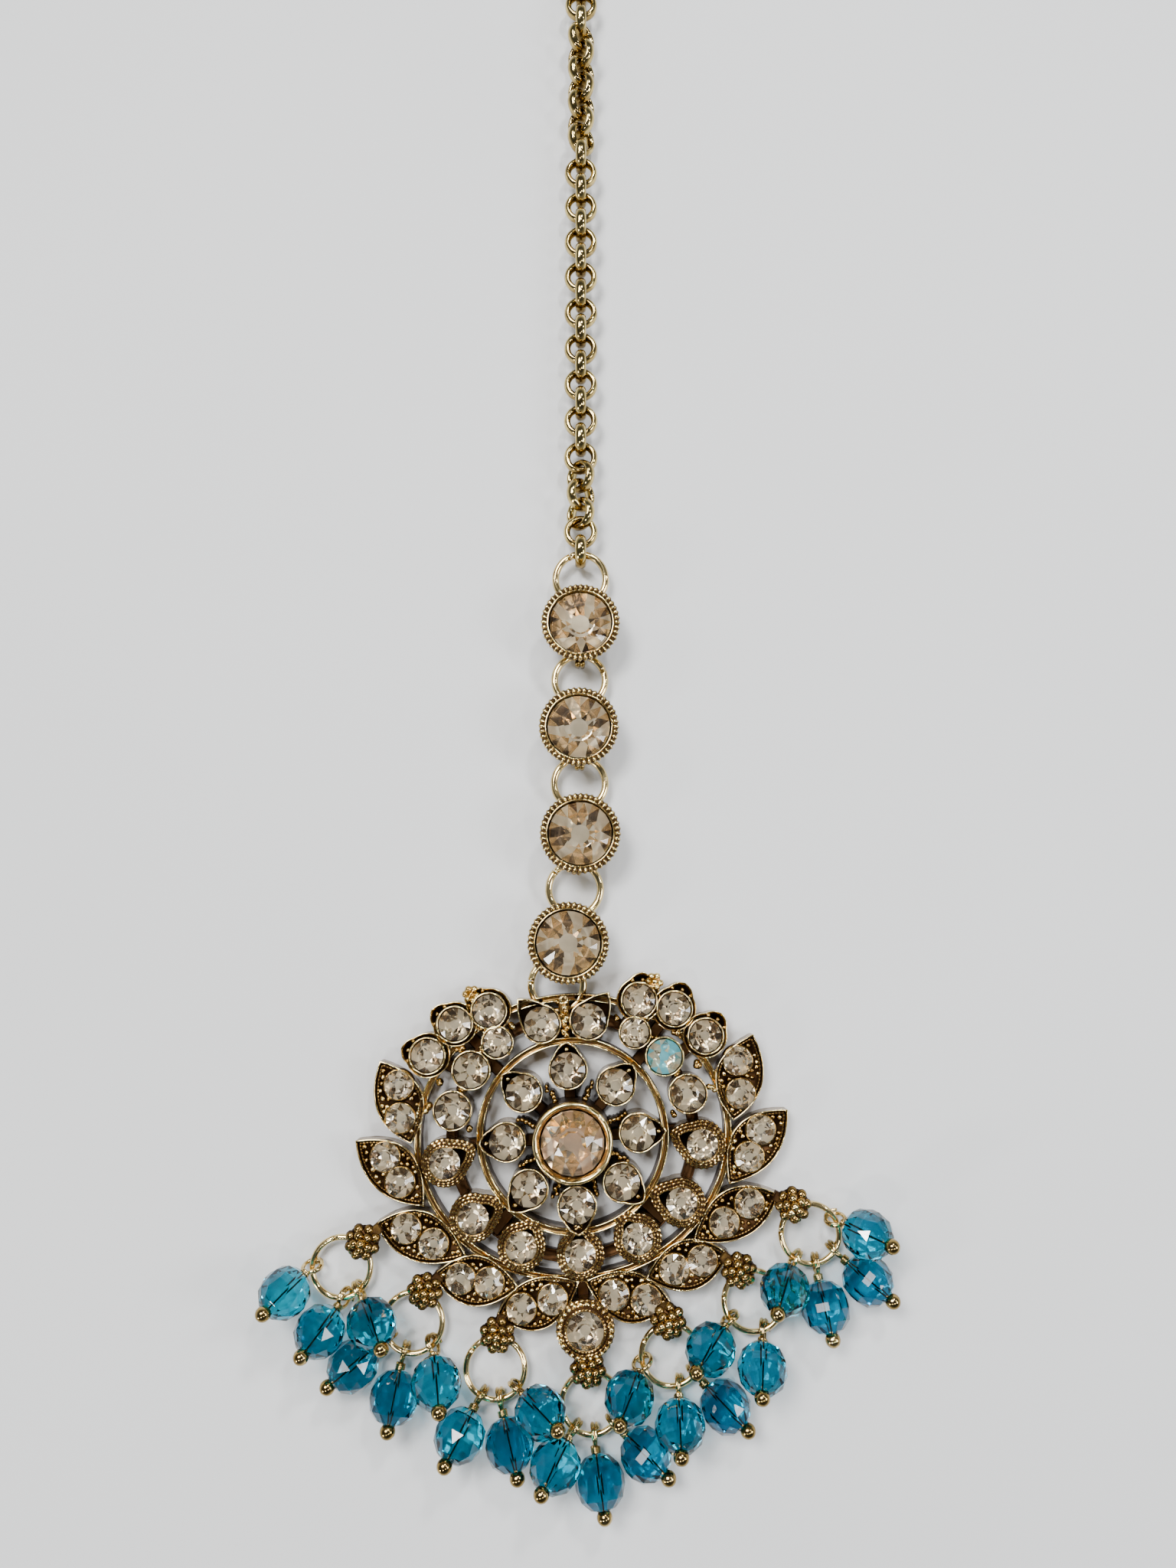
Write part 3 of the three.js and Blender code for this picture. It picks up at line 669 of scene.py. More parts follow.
class Nodes:
    """Adds nodes to a tree, with their links, values and settings in one call."""

    def __init__(self, tree):
        self.tree = tree

    def add(self, kind, links=None, values=None, **settings):
        node = self.tree.nodes.new(kind)
        for key, value in settings.items():
            setattr(node, key, value)
        for socket, value in (values or {}).items():
            node.inputs[socket].default_value = value
        for socket, source in (links or {}).items():
            self.tree.links.new(source, node.inputs[socket])
        return node

    def math(self, operation, links, values=None, **settings):
        made = self.add("ShaderNodeMath", links, values, operation=operation, **settings)
        return made.outputs[0]

    def ramp(self, source, low, high, **settings):
        """0 where the source is at low or below, 1 where it is at high or above."""
        values = {"From Min": low, "From Max": high}
        return self.add("ShaderNodeMapRange", {"Value": source}, values, **settings).outputs[0]

    def mix(self, share, first, second):
        made = self.add("ShaderNodeMix", {0: share, 6: first, 7: second}, data_type="RGBA")
        return made.outputs[2]

    def noise(self, scale, detail):
        place = self.add("ShaderNodeTexCoord")
        links = {"Vector": place.outputs["Object"], "Scale": scale}
        return self.add("ShaderNodeTexNoise", links, {"Detail": detail}).outputs[0]

    def relief(self, height, strength, distance):
        values = {"Strength": strength, "Distance": distance}
        return self.add("ShaderNodeBump", {"Height": height}, values).outputs["Normal"]


def new_group(name, inputs, outputs):
    group = bpy.data.node_groups.new(name, "ShaderNodeTree")
    for label, kind, value in inputs:
        socket = group.interface.new_socket(name=label, in_out="INPUT", socket_type=kind)
        socket.default_value = value
    for label, kind in outputs:
        group.interface.new_socket(name=label, in_out="OUTPUT", socket_type=kind)
    nodes = Nodes(group)
    return group, nodes, nodes.add("NodeGroupInput").outputs


def metal_wear_and_shade_group():
    """Gold that is bright on the worn edges and brown in the recesses, the brown partly patina and partly
    painted shade.
    """
    group, nodes, start = new_group(
        "Metal Wear And Shade",
        (
            ("Bright", "NodeSocketColor", (0.85, 0.68, 0.32, 1)),
            ("Body", "NodeSocketColor", (0.5, 0.36, 0.14, 1)),
            ("Recess", "NodeSocketColor", (0.1, 0.05, 0.02, 1)),
            ("Patina And Shade", "NodeSocketFloat", 0.5),
            ("Shine", "NodeSocketFloat", 0.2),
            ("Scale", "NodeSocketFloat", 900.0),
        ),
        (("Color", "NodeSocketColor"), ("Roughness", "NodeSocketFloat"), ("Height", "NodeSocketFloat")),
    )
    mark = nodes.add("ShaderNodeAttribute", attribute_name="patina_and_shade").outputs["Fac"]
    fine = nodes.noise(start["Scale"], 4)
    broad = nodes.noise(nodes.math("MULTIPLY", {0: start["Scale"]}, {1: 0.3}), 2)
    jitter = nodes.math("MULTIPLY_ADD", {0: fine}, {1: 0.7, 2: -0.35})
    spread = nodes.math("MULTIPLY_ADD", {0: broad}, {1: 0.5, 2: -0.25})
    uneven = nodes.math("ADD", {0: mark, 1: nodes.math("ADD", {0: jitter, 1: spread})})
    # The share that turns the gold brown: patina and painted shade
    stained_and_shaded = nodes.math("MULTIPLY", {0: uneven, 1: start["Patina And Shade"]})
    edge = nodes.ramp(stained_and_shaded, 0.0, 0.28, interpolation_type="SMOOTHSTEP")
    deep = nodes.ramp(stained_and_shaded, 0.28, 0.75, interpolation_type="SMOOTHSTEP")
    worn = nodes.mix(edge, start["Bright"], start["Body"])
    dull = nodes.math("ADD", {0: start["Shine"], 1: nodes.math("MULTIPLY", {0: deep}, {1: 0.35})})
    grainy = nodes.math("MULTIPLY_ADD", {0: fine}, {1: 0.16, 2: -0.08})
    nodes.add("NodeGroupOutput", {
        "Color": nodes.mix(deep, worn, start["Recess"]),
        "Roughness": nodes.math("ADD", {0: dull, 1: grainy}, use_clamp=True),
        "Height": fine,
    })
    return group


def clouding_group():
    """Slow changes of tint inside glass."""
    group, nodes, start = new_group(
        "Glass Clouding",
        (
            ("Tint", "NodeSocketColor", (1, 1, 1, 1)),
            ("Second Tint", "NodeSocketColor", (0.8, 0.8, 0.8, 1)),
            ("Scale", "NodeSocketFloat", 300.0),
        ),
        (("Color", "NodeSocketColor"), ("Height", "NodeSocketFloat")),
    )
    waves = nodes.noise(start["Scale"], 2)
    tinted = nodes.mix(nodes.ramp(waves, 0.35, 0.65), start["Tint"], start["Second Tint"])
    nodes.add("NodeGroupOutput", {"Color": tinted, "Height": waves})
    return group


def shared(name, make):
    return bpy.data.node_groups.get(name) or make()


def opaque(color):
    return (*color[:3], 1)


def deeper(color, share_left):
    return [value * share_left for value in color]


def material(name, dress, *values):
    """The material of this name, made by dress when it is first asked for."""
    made = bpy.data.materials.get(name)
    if not made:
        made = bpy.data.materials.new(name)
        made.use_nodes = True
        dress(Nodes(made.node_tree), made.node_tree.nodes["Principled BSDF"].inputs, *values)
    return made


def cloud(nodes, sockets, tint, second, scale):
    """Colours a shader with two tints that drift into each other."""
    made = nodes.add("ShaderNodeGroup", node_tree=shared("Glass Clouding", clouding_group))
    made.inputs["Tint"].default_value = opaque(tint)
    made.inputs["Second Tint"].default_value = opaque(second)
    made.inputs["Scale"].default_value = scale
    nodes.tree.links.new(made.outputs["Color"], sockets["Base Color"])
    return made.outputs["Height"]


def gold(nodes, sockets, bright, body, patina_and_shade, shine, bump):
    """A plated gold, from bright edges to brown recesses; the brown is partly patina and partly painted
    shade.
    """
    wear_and_shade = nodes.add("ShaderNodeGroup", node_tree=shared("Metal Wear And Shade", metal_wear_and_shade_group))
    values = {"Bright": opaque(bright), "Body": opaque(body), "Recess": opaque(colours().recess),
              "Patina And Shade": patina_and_shade, "Shine": shine, "Scale": 900}
    for label, value in values.items():
        wear_and_shade.inputs[label].default_value = value
    links = nodes.tree.links
    links.new(wear_and_shade.outputs["Color"], sockets["Base Color"])
    links.new(wear_and_shade.outputs["Roughness"], sockets["Roughness"])
    links.new(nodes.relief(wear_and_shade.outputs["Height"], bump, 0.0001), sockets["Normal"])
    sockets["Metallic"].default_value = 1


def glass(nodes, sockets, tint, second, ior=1.52, rough=0.02, scale=300, bump=0.0):
    height = cloud(nodes, sockets, tint, second, scale)
    if bump:
        nodes.tree.links.new(nodes.relief(height, bump, 0.0002), sockets["Normal"])
    sockets["Roughness"].default_value = rough
    sockets["IOR"].default_value = ior
    sockets["Metallic"].default_value = 0
    sockets["Transmission Weight"].default_value = 1


def foil(nodes, sockets, tint, second, mirror_share):
    """The painted metal backing of a stone."""
    cloud(nodes, sockets, tint, second, 500)
    sockets["Metallic"].default_value = mirror_share
    sockets["Roughness"].default_value = 0.1


def colours():
    return bpy.context.scene.tikka_colours


def chain_gold():
    return material("Chain Plate", gold, colours().chain_gold, colours().body_gold, 0.65, 0.13, 0.1)


def ring_gold():
    return material("Ring Plate", gold, colours().pale_gold, colours().body_gold, 0.5, 0.15, 0.1)


def setting_gold():
    return material("Setting Plate", gold, colours().pale_gold, colours().body_gold, 0.75, 0.14, 0.15)


def antique_gold():
    return material("Antique Plate", gold, colours().bright_gold, colours().antique_gold, 1.0, 0.13, 0.6)


def ball_gold():
    return material("Pin Plate", gold, colours().pale_gold, colours().body_gold, 0.8, 0.14, 0.1)


def crystal():
    return material("Champagne Glass", glass, colours().crystal, colours().crystal_shade)


def peach_crystal():
    return material("Peach Glass", glass, colours().peach, colours().crystal)


def teal_glass():
    return material("Bead Glass", glass, colours().teal, colours().teal_shade, 1.5, 0.03, 250, 0.1)


def crystal_foil():
    return material("Stone Foil", foil, colours().foil, deeper(colours().foil, 0.8), 0.6)


def peach_foil():
    return material("Peach Foil", foil, colours().peach, deeper(colours().peach, 0.7), 0.7)


def amber_foil():
    return material("Amber Foil", foil, colours().foil_amber, deeper(colours().foil_amber, 0.7), 0.75)


# A dark copy of the stone foil that paints shade on some facets
def painted_shade_foil():
    return material("Painted Shade Foil", foil, colours().foil_painted_shade, deeper(colours().foil_painted_shade, 0.5), 0.85)


def mirror_foil():
    return material("Mirror Foil", foil, (1, 1, 1), colours().foil, 1.0)


def flash_foil():
    return material("Flash Foil", foil, colours().flash, deeper(colours().flash, 0.8), 0.5)


# Settings of the add-on


def colour(name, description, default):
    return FloatVectorProperty(
        name=name, description=description, subtype="COLOR", min=0, max=1, default=default)


class TikkaColours(bpy.types.PropertyGroup):
    """Colours of the metals and the glass."""

    pale_gold: colour("Pale Gold", "Gold of the rings and settings", (0.88, 0.68, 0.32))
    chain_gold: colour("Chain Gold", "Olive gold of the chain", (0.70, 0.55, 0.22))
    bright_gold: colour("Bright Gold", "Worn edges of the pendant", (1.0, 0.80, 0.39))
    body_gold: colour("Body Gold", "Gold between edges and recesses", (0.28, 0.19, 0.06))
    antique_gold: colour("Antique Gold", "Darker gold of the pendant", (0.36, 0.22, 0.06))
    # The brown of the recesses: patina, and painted shade where the recesses lie in shadow
    recess: colour("Patina And Shade", "Brown of the recesses", (0.045, 0.022, 0.009))
    crystal: colour("Crystal", "Clear tint of the stones", (1.0, 0.96, 0.88))
    crystal_shade: colour("Crystal Shade", "Smoky tint of the stones", (0.94, 0.88, 0.80))
    peach: colour("Centre Crystal", "Tint of the centre stone", (1.0, 0.80, 0.62))
    foil: colour("Foil", "Backing of the stones", (1.0, 0.90, 0.70))
    foil_amber: colour("Foil Amber", "Warm patches of the backing", (0.95, 0.66, 0.34))
    # Painted shade on some facets of the stones
    foil_painted_shade: colour("Foil Painted Shade", "Darker patches of the backing", (0.36, 0.27, 0.18))
    flash: colour("Flash", "Backing of the one stone that flashes blue", (0.25, 0.8, 1.0))
    teal: colour("Teal", "Glass of the beads", (0.0, 0.36, 0.49))
    teal_shade: colour("Teal Shade", "Deeper glass of the beads", (0.0, 0.21, 0.34))
    floor: colour("Floor", "Pale floor", (0.62, 0.63, 0.64))


class TikkaSizes(bpy.types.PropertyGroup):
    """Finish details that a maker may change."""

    rope_turns: IntProperty(
        name="Rope Turns", description="Turns of the rope round each setting", default=44, min=8, max=90)
    granule: FloatProperty(
        name="Granule", description="Diameter of the leaf granules", default=0.0007, unit="LENGTH",
        min=0.0002, max=0.001)
    link_wire: FloatProperty(
        name="Link Wire", description="Thickness of the chain links", default=LINK_WIRE * MM, unit="LENGTH",
        min=0.0006, max=0.0012)
    link_width: FloatProperty(
        name="Link Width", description="Width of the chain links", default=0.0015, unit="LENGTH",
        min=0.0006, max=0.0018)
    bead_diameter: FloatProperty(
        name="Bead Diameter", description="Glass beads", default=BEAD_DIAMETER * MM, unit="LENGTH",
        min=0.004, max=0.006)


# Operators


class TIKKA_OT_chain(bpy.types.Operator):
    """Round links of the chain"""

    bl_idname = "tikka.chain"
    bl_label = "Chain"

    def execute(self, context):
        wire = context.scene.tikka_sizes.link_wire / MM
        width = context.scene.tikka_sizes.link_width / MM
        shape = Shape()
        radius = (LINK_OUTER - LINK_WIRE) / 2
        for i in range(LINK_COUNT):
            twisted = any(low <= i <= high for low, high in TWISTS)
            roll = (0 if i % 2 else 90) + (45 if twisted else 0)
            centre = Vector((TOP_RING_AT.x, CHAIN_START + i * CHAIN_PITCH, CHAIN_LEVEL))
            place = Matrix.Translation(centre) @ Matrix.Rotation(math.radians(roll), 4, "Y")
            self.link(shape, place, radius, wire, width)
        shape.piece("chain_links", [chain_gold()], "chain")
        return {"FINISHED"}

    def link(self, shape, place, radius, wire, width):
        """A round link of half-round wire, flat inside and domed outside, darker towards the two ends that
        hold the next links.
        """
        rings, values = [], []
        for i in range(LINK_STEPS):
            angle = 2 * math.pi * i / LINK_STEPS
            ring = []
            for j in range(LINK_WIRE_SIDES):
                turn = 2 * math.pi * j / LINK_WIRE_SIDES
                out = math.cos(turn)
                reach = radius + wire / 2 * (out if out > 0 else LINK_INSIDE * out)
                ring.append(place @ Vector((*polar(reach, angle), width / 2 * math.sin(turn))))
            rings.append(ring)
            values.append(0.2 + 0.5 * abs(math.sin(angle)) ** 8)
        shape.loft(rings, values, True)


class TIKKA_OT_hair_hook(bpy.types.Operator):
    """Wire hook at the free end"""

    bl_idname = "tikka.hair_hook"
    bl_label = "Hair Hook"

    def execute(self, context):
        last_link = CHAIN_START + (LINK_COUNT - 1) * CHAIN_PITCH
        eye_start = last_link + CHAIN_BORE - CLEARANCE - HOOK_WIRE
        eye_outer = HOOK_EYE_INNER + 2 * HOOK_WIRE
        eye_centre = Vector((0, eye_start + eye_outer / 2))
        shank_start = eye_start + eye_outer - HOOK_WIRE / 2
        shank_end = shank_start + HOOK_SHANK
        bend = (HOOK_BEND_INNER + HOOK_WIRE) / 2
        quarter = math.pi / 2
        eye = arc((eye_outer - HOOK_WIRE) / 2, quarter + HOOK_LOOP_GAP, quarter + 2 * math.pi, 32)
        path = [eye_centre + spot for spot in eye]
        path += [Vector((0, shank_start + HOOK_SHANK * i / 8)) for i in range(1, 9)]
        path += [Vector((bend, shank_end)) + spot for spot in arc(bend, math.pi, 0, 16)[1:]]
        path += [Vector((2 * bend, shank_end - HOOK_RETURN * i / 6)) for i in range(1, 7)]
        radii = [HOOK_WIRE / 2] * len(path)
        radii[-1] = HOOK_WIRE / 4
        shape = Shape(Matrix.Translation((TOP_RING_AT.x, 0, CHAIN_LEVEL)))
        shape.sweep([spot.to_3d() for spot in path], radii, 12, patina_and_shade=0.12)
        shape.piece("wire_hook", [chain_gold()], "hair_hook")
        return {"FINISHED"}


class TIKKA_OT_rings(bpy.types.Operator):
    """Rings between the pieces and the rings of the bead drops"""

    bl_idname = "tikka.rings"
    bl_label = "Rings"

    def execute(self, context):
        level = ring_level(CONNECTOR_WIRE)
        tilt = math.asin((CHAIN_LEVEL - TOP_RING_SAG - level) / (2 * CONNECTOR_RADIUS))
        raised = (
            Matrix.Translation(Vector((TOP_RING_AT.x, TOP_RING_AT.y - CONNECTOR_RADIUS, level)))
            @ Matrix.Rotation(tilt, 4, "X")
            @ Matrix.Translation(Vector((0, CONNECTOR_RADIUS, 0)))
        )
        self.connector("top_wire_ring", "top_ring", raised, 2.0)
        for i in range(len(SETTING_PLACES) - 1):
            middle = (SETTING_PLACES[i] + SETTING_PLACES[i + 1]) / 2
            self.connector(f"row_ring_{i + 1}", f"connector_ring_{i + 1}", Vector((*middle, level)), 0.4 + i)
        self.connector("pendant_wire_ring", "pendant_ring", Vector((*PENDANT_RING_AT, level)), 3)
        for name, (_, heading, _) in ROSETTES.items():
            centre = Vector((*ahead_of(name, ROSETTE_EYE_AHEAD + JUMP_RADIUS), JUMP_LEVEL))
            shape = Shape(TURN)
            wire_ring(shape, centre, JUMP_RADIUS, JUMP_WIRE, math.radians(heading) - JUMP_GAP_TURN)
            shape.piece(f"drop_ring_{name}", [ring_gold()], f"jump_ring_{name}")
        return {"FINISHED"}

    def connector(self, name, node, place, start):
        shape = Shape()
        wire_ring(shape, place, CONNECTOR_RADIUS, CONNECTOR_WIRE, start)
        shape.piece(name, [ring_gold()], node)


class TIKKA_OT_settings(bpy.types.Operator):
    """Roped collets of the row, with an eye at each end"""

    bl_idname = "tikka.settings"
    bl_label = "Row Settings"

    def execute(self, context):
        turns = context.scene.tikka_sizes.rope_turns
        outer = SETTING_OUTER / 2
        inner = SETTING_STONE / 2 + STONE_GAP * 0.4
        seat = SETTING_BASE + SETTING_WALL
        # The last column of the profile darkens the foot, the rope's hollow and the seat: patina and painted
        # shade
        profile = (
            (0, SETTING_BASE, 0.7),
            (outer - 1.1, SETTING_BASE, 0.6),
            (outer - 0.75, SETTING_BASE + 0.12, 0.35),
            (outer - 0.6, SETTING_BASE + 0.5, 0.3),
            (outer - 0.45, SETTING_TOP - 1.3, 0.3),
            (outer - 0.3, SETTING_TOP - 0.95, 0.6),
            (outer - 0.25, SETTING_TOP - 0.55, 0.6),
            (outer - 0.5, SETTING_TOP - 0.25, 0.5),
            (inner + 0.3, SETTING_TOP - 0.5, 1.2),
            (inner + 0.2, SETTING_TOP - 0.12, 0.4),
            (inner + 0.1, SETTING_TOP - 0.02, 0.0),
            (inner, SETTING_TOP - 0.14, 0.5),
            (inner, seat + 1.0, 0.9),
            (inner - 0.6, seat, 1.0),
            (0, seat, 1.0),
        )
        for index, at in enumerate(SETTING_PLACES):
            shape = Shape()
            shape.lathe(profile, 48, at)
            self.rope(shape, at, outer - 0.48, turns)
            self.eyes(shape, index)
            number = index + 1
            shape.piece(f"roped_setting_{number}", [setting_gold()], f"setting_{number}")
        return {"FINISHED"}

    def rope(self, shape, at, radius, turns):
        """The rope rim: a ring whose thickness swells once for each turn of the rope."""
        steps = turns * 4
        rings = []
        for i in range(steps):
            angle = 2 * math.pi * i / steps
            ring = []
            for j in range(8):
                around = 2 * math.pi * j / 8
                swell = ROPE_RADIUS * (0.84 + 0.24 * math.cos(turns * angle + 0.7 * math.cos(around)))
                spot = at + polar(radius + swell * math.cos(around), angle)
                ring.append((*spot, SETTING_TOP - 0.42 + swell * math.sin(around)))
            rings.append(ring)
        # Rope crests bright and grooves dark: patina and painted shade
        shape.loft(rings, [0.0, 0.45, 1.3, 0.45] * turns, True)

    def eyes(self, shape, index):
        """An eye towards the ring on each side; the last one follows the pendant ring."""
        at = SETTING_PLACES[index]
        above = SETTING_PLACES[index - 1] if index else at + Vector((0, SETTING_PITCH))
        self.eye(shape, at, above, SETTING_PITCH / 2 - CONNECTOR_RADIUS)
        if index + 1 < len(SETTING_PLACES):
            self.eye(shape, at, SETTING_PLACES[index + 1], SETTING_PITCH / 2 - CONNECTOR_RADIUS)
        else:
            self.eye(shape, PENDANT_RING_AT, at, CONNECTOR_RADIUS)

    def eye(self, shape, start, end, reach):
        spot = towards(start, end, reach)
        staple(shape, spot, heading_of(start, end), CONNECTOR_WIRE, SETTING_BASE + 0.3)


class TIKKA_OT_large_stones(bpy.types.Operator):
    """The four stones of the row and the centre stone"""

    bl_idname = "tikka.large_stones"
    bl_label = "Large Stones"

    def execute(self, context):
        low = SETTING_BASE + SETTING_WALL + STONE_GAP
        radius = SETTING_STONE / 2
        girdle = low + 0.36 * radius
        for index, at in enumerate(SETTING_PLACES):
            shape = Shape()
            gem(shape, at, radius, girdle, girdle + 0.38 * radius, low, 12, 0.3 + 0.7 * index, 0.48)
            finishes = [crystal(), crystal_foil(), amber_foil(), painted_shade_foil()]
            shape.piece(f"row_stone_{index + 1}", finishes, f"setting_stone_{index + 1}")
        shape = Shape(TURN)
        radius = CENTRE_STONE / 2
        low = CENTRE_SEAT + STONE_GAP * 0.5
        girdle = low + 0.4 * radius
        gem(shape, (0, 0), radius, girdle, girdle + 0.4 * radius, low, 9, 0.1, 0.44)
        finishes = [peach_crystal(), peach_foil(), mirror_foil(), amber_foil()]
        shape.piece("centre_crystal", finishes, "centre_stone")
        return {"FINISHED"}


class TIKKA_OT_bands(bpy.types.Operator):
    """Two double-ridged bands of the pendant and the bars on its back"""

    bl_idname = "tikka.bands"
    bl_label = "Bands and Back Bars"

    def execute(self, context):
        shape = Shape(TURN)
        for row in BANDS:
            self.band(shape, row, BAND_WIDTH, row["height"] * BAND_HEIGHT)
        self.band(shape, BACK_BAND, BACK_BAR_WIDTH, BACK_BAR_HEIGHT)
        self.bars(shape)
        made = shape.frame_piece("pendant_bands")
        self.make_room(made)
        return {"FINISHED"}

    def band(self, shape, row, width, height):
        half = width / 2
        section = (
            (-half, 0.0, 0.9), (-half, height - 0.25, 0.35), (-half + 0.03, height - 0.06, 0.0),
            (-half + 0.1, height, 0.0), (-half + 0.2, height - 0.12, 0.3), (0, height - 0.4, 0.9),
            (half - 0.2, height - 0.12, 0.3), (half - 0.1, height, 0.0), (half - 0.03, height - 0.06, 0.0),
            (half, height - 0.25, 0.35), (half, 0.0, 0.9),
        )
        rings = [at_height(oval(row, out), lift) for out, lift, _ in section]
        shape.loft(rings, [patina_and_shade for _, _, patina_and_shade in section], True)

    def bars(self, shape):
        reach = BACK_BAND["half_width"] * HALF_WIDTH
        for i in range(4):
            end = polar(reach, math.pi * i / 4)
            block(shape, -end, end, BACK_BAR_WIDTH, 0.0, BACK_BAR_HEIGHT)
        for x, y, _ in ROUND_CUPS + FLOWER_CUPS:
            for sign in (1, -1):
                cup = share(sign * x, y)
                foot = towards(Vector((0, 0)), cup, BACK_BAND["half_length"] * HALF_WIDTH)
                if foot.length < cup.length:
                    block(shape, foot, cup, BACK_BAR_WIDTH, 0.0, BACK_BAR_HEIGHT)
        foot = share(0, BACK_BAND["rise"] - BACK_BAND["half_length"])
        block(shape, foot, share(*DROP_CUP), BACK_BAR_WIDTH, 0.0, BACK_BAR_HEIGHT)

    def make_room(self, made):
        """Cuts the room that the pendant ring passes through."""
        cutter = Shape()
        air = CLEARANCE + FACET_ALLOWANCE
        path = at_height(circle(PENDANT_RING_AT, CONNECTOR_RADIUS, 40), ring_level(CONNECTOR_WIRE))
        cutter.sweep(path, CONNECTOR_WIRE / 2 + air, 10, True)
        tool = bpy.data.objects.new("ring_room", cutter.mesh("ring_room"))
        bpy.context.scene.collection.objects.link(tool)
        cut = made.modifiers.new("ring_room", "BOOLEAN")
        cut.operation = "DIFFERENCE"
        cut.solver = "EXACT"
        cut.use_self = True
        cut.object = tool
        graph = bpy.context.evaluated_depsgraph_get()
        result = bpy.data.meshes.new_from_object(made.evaluated_get(graph))
        made.modifiers.clear()
        made.data = result
        bpy.data.objects.remove(tool)
        self.patina_and_shade_by_height(result)

    def patina_and_shade_by_height(self, mesh):
        """Patina and painted shade by height: brown bars below, bright ridges on top of the bands."""
        old = mesh.attributes.get("patina_and_shade")
        if old:
            mesh.attributes.remove(old)
        inner_reach = (BANDS[0]["half_width"] + 0.06) * HALF_WIDTH
        values = []
        for corner in mesh.vertices:
            spot = corner.co / MM
            row = BANDS[0] if spot.xy.length < inner_reach else BANDS[1]
            depth = row["height"] * BAND_HEIGHT - spot.z
            values.append(min(1.0, max(0.0, (depth - 0.05) * 2.4)))
        give_patina_and_shade(mesh, values)


class TIKKA_OT_petals(bpy.types.Operator):
    """The centre collet and the eight teardrop petals round it"""

    bl_idname = "tikka.petals"
    bl_label = "Petals"

    def execute(self, context):
        shape = Shape(TURN)
        inner = CENTRE_STONE / 2 + STONE_GAP * 0.4
        outer = CENTRE_STONE / 2 + STONE_GAP + CENTRE_WALL
        profile = (
            (0, 0.0, 0.9), (outer, 0.0, 0.9), (outer, CENTRE_HEIGHT - 1.0, 0.6),
            (outer - 0.05, CENTRE_HEIGHT - 0.45, 0.3), (outer - 0.1, CENTRE_HEIGHT - 0.2, 0.05),
            (outer - 0.3, CENTRE_HEIGHT - 0.02, 0.0), (inner + 0.35, CENTRE_HEIGHT - 0.1, 0.1),
            (inner + 0.18, CENTRE_HEIGHT - 0.4, 0.4), (inner, CENTRE_HEIGHT - 0.6, 0.5),
            (inner, CENTRE_SEAT + 0.6, 0.9), (inner - 0.6, CENTRE_SEAT, 1.0), (0, CENTRE_SEAT, 1.0),
        )
        shape.lathe(profile, 56)
        for i in range(INNER_PETALS["count"]):
            at, tip = petal_places(i)
            outline = teardrop(at, tip, PETAL_STONE / 2 + COLLET_WALL)
            collet(shape, outline, PETAL_HEIGHT, COLLET_WALL)
            grain = towards(tip, at, 0.95)
            shape.ball((*grain, PETAL_HEIGHT - 0.42), 0.33, patina_and_shade=0.2)
        self.granules(shape)
        shape.frame_piece("petal_collets")
        return {"FINISHED"}

    def granules(self, shape):
        """Grains soldered in the corners between neighbouring petals and the centre collet."""
        chance = random.Random(8)
        reach = CENTRE_STONE / 2 + STONE_GAP + CENTRE_WALL
        for i in range(INNER_PETALS["count"]):
            angle = math.pi / 2 + (i + 0.5) * 2 * math.pi / INNER_PETALS["count"]
            for distance, radius in ((0.25, 0.42), (0.75, 0.36), (1.25, 0.42), (1.8, 0.32), (2.3, 0.3)):
                spot = polar(reach + distance, angle + 0.08 * (chance.random() - 0.5))
                lift = 3.4 - 0.25 * distance
                shape.sweep([(*spot, 0.4), (*spot, lift)], radius * 0.9, 6, patina_and_shade=1.0)
                shape.ball((*spot, lift), radius, patina_and_shade=0.25 + 0.2 * chance.random())


def petal_places(index):
    angle = math.pi / 2 + index * 2 * math.pi / INNER_PETALS["count"]
    lift = Vector((0, INNER_PETALS["rise"] * HALF_WIDTH))
    at = polar(INNER_PETALS["radius"] * HALF_WIDTH, angle) + lift
    tip = polar(INNER_PETALS["tip"] * HALF_WIDTH, angle) + lift
    return at, tip


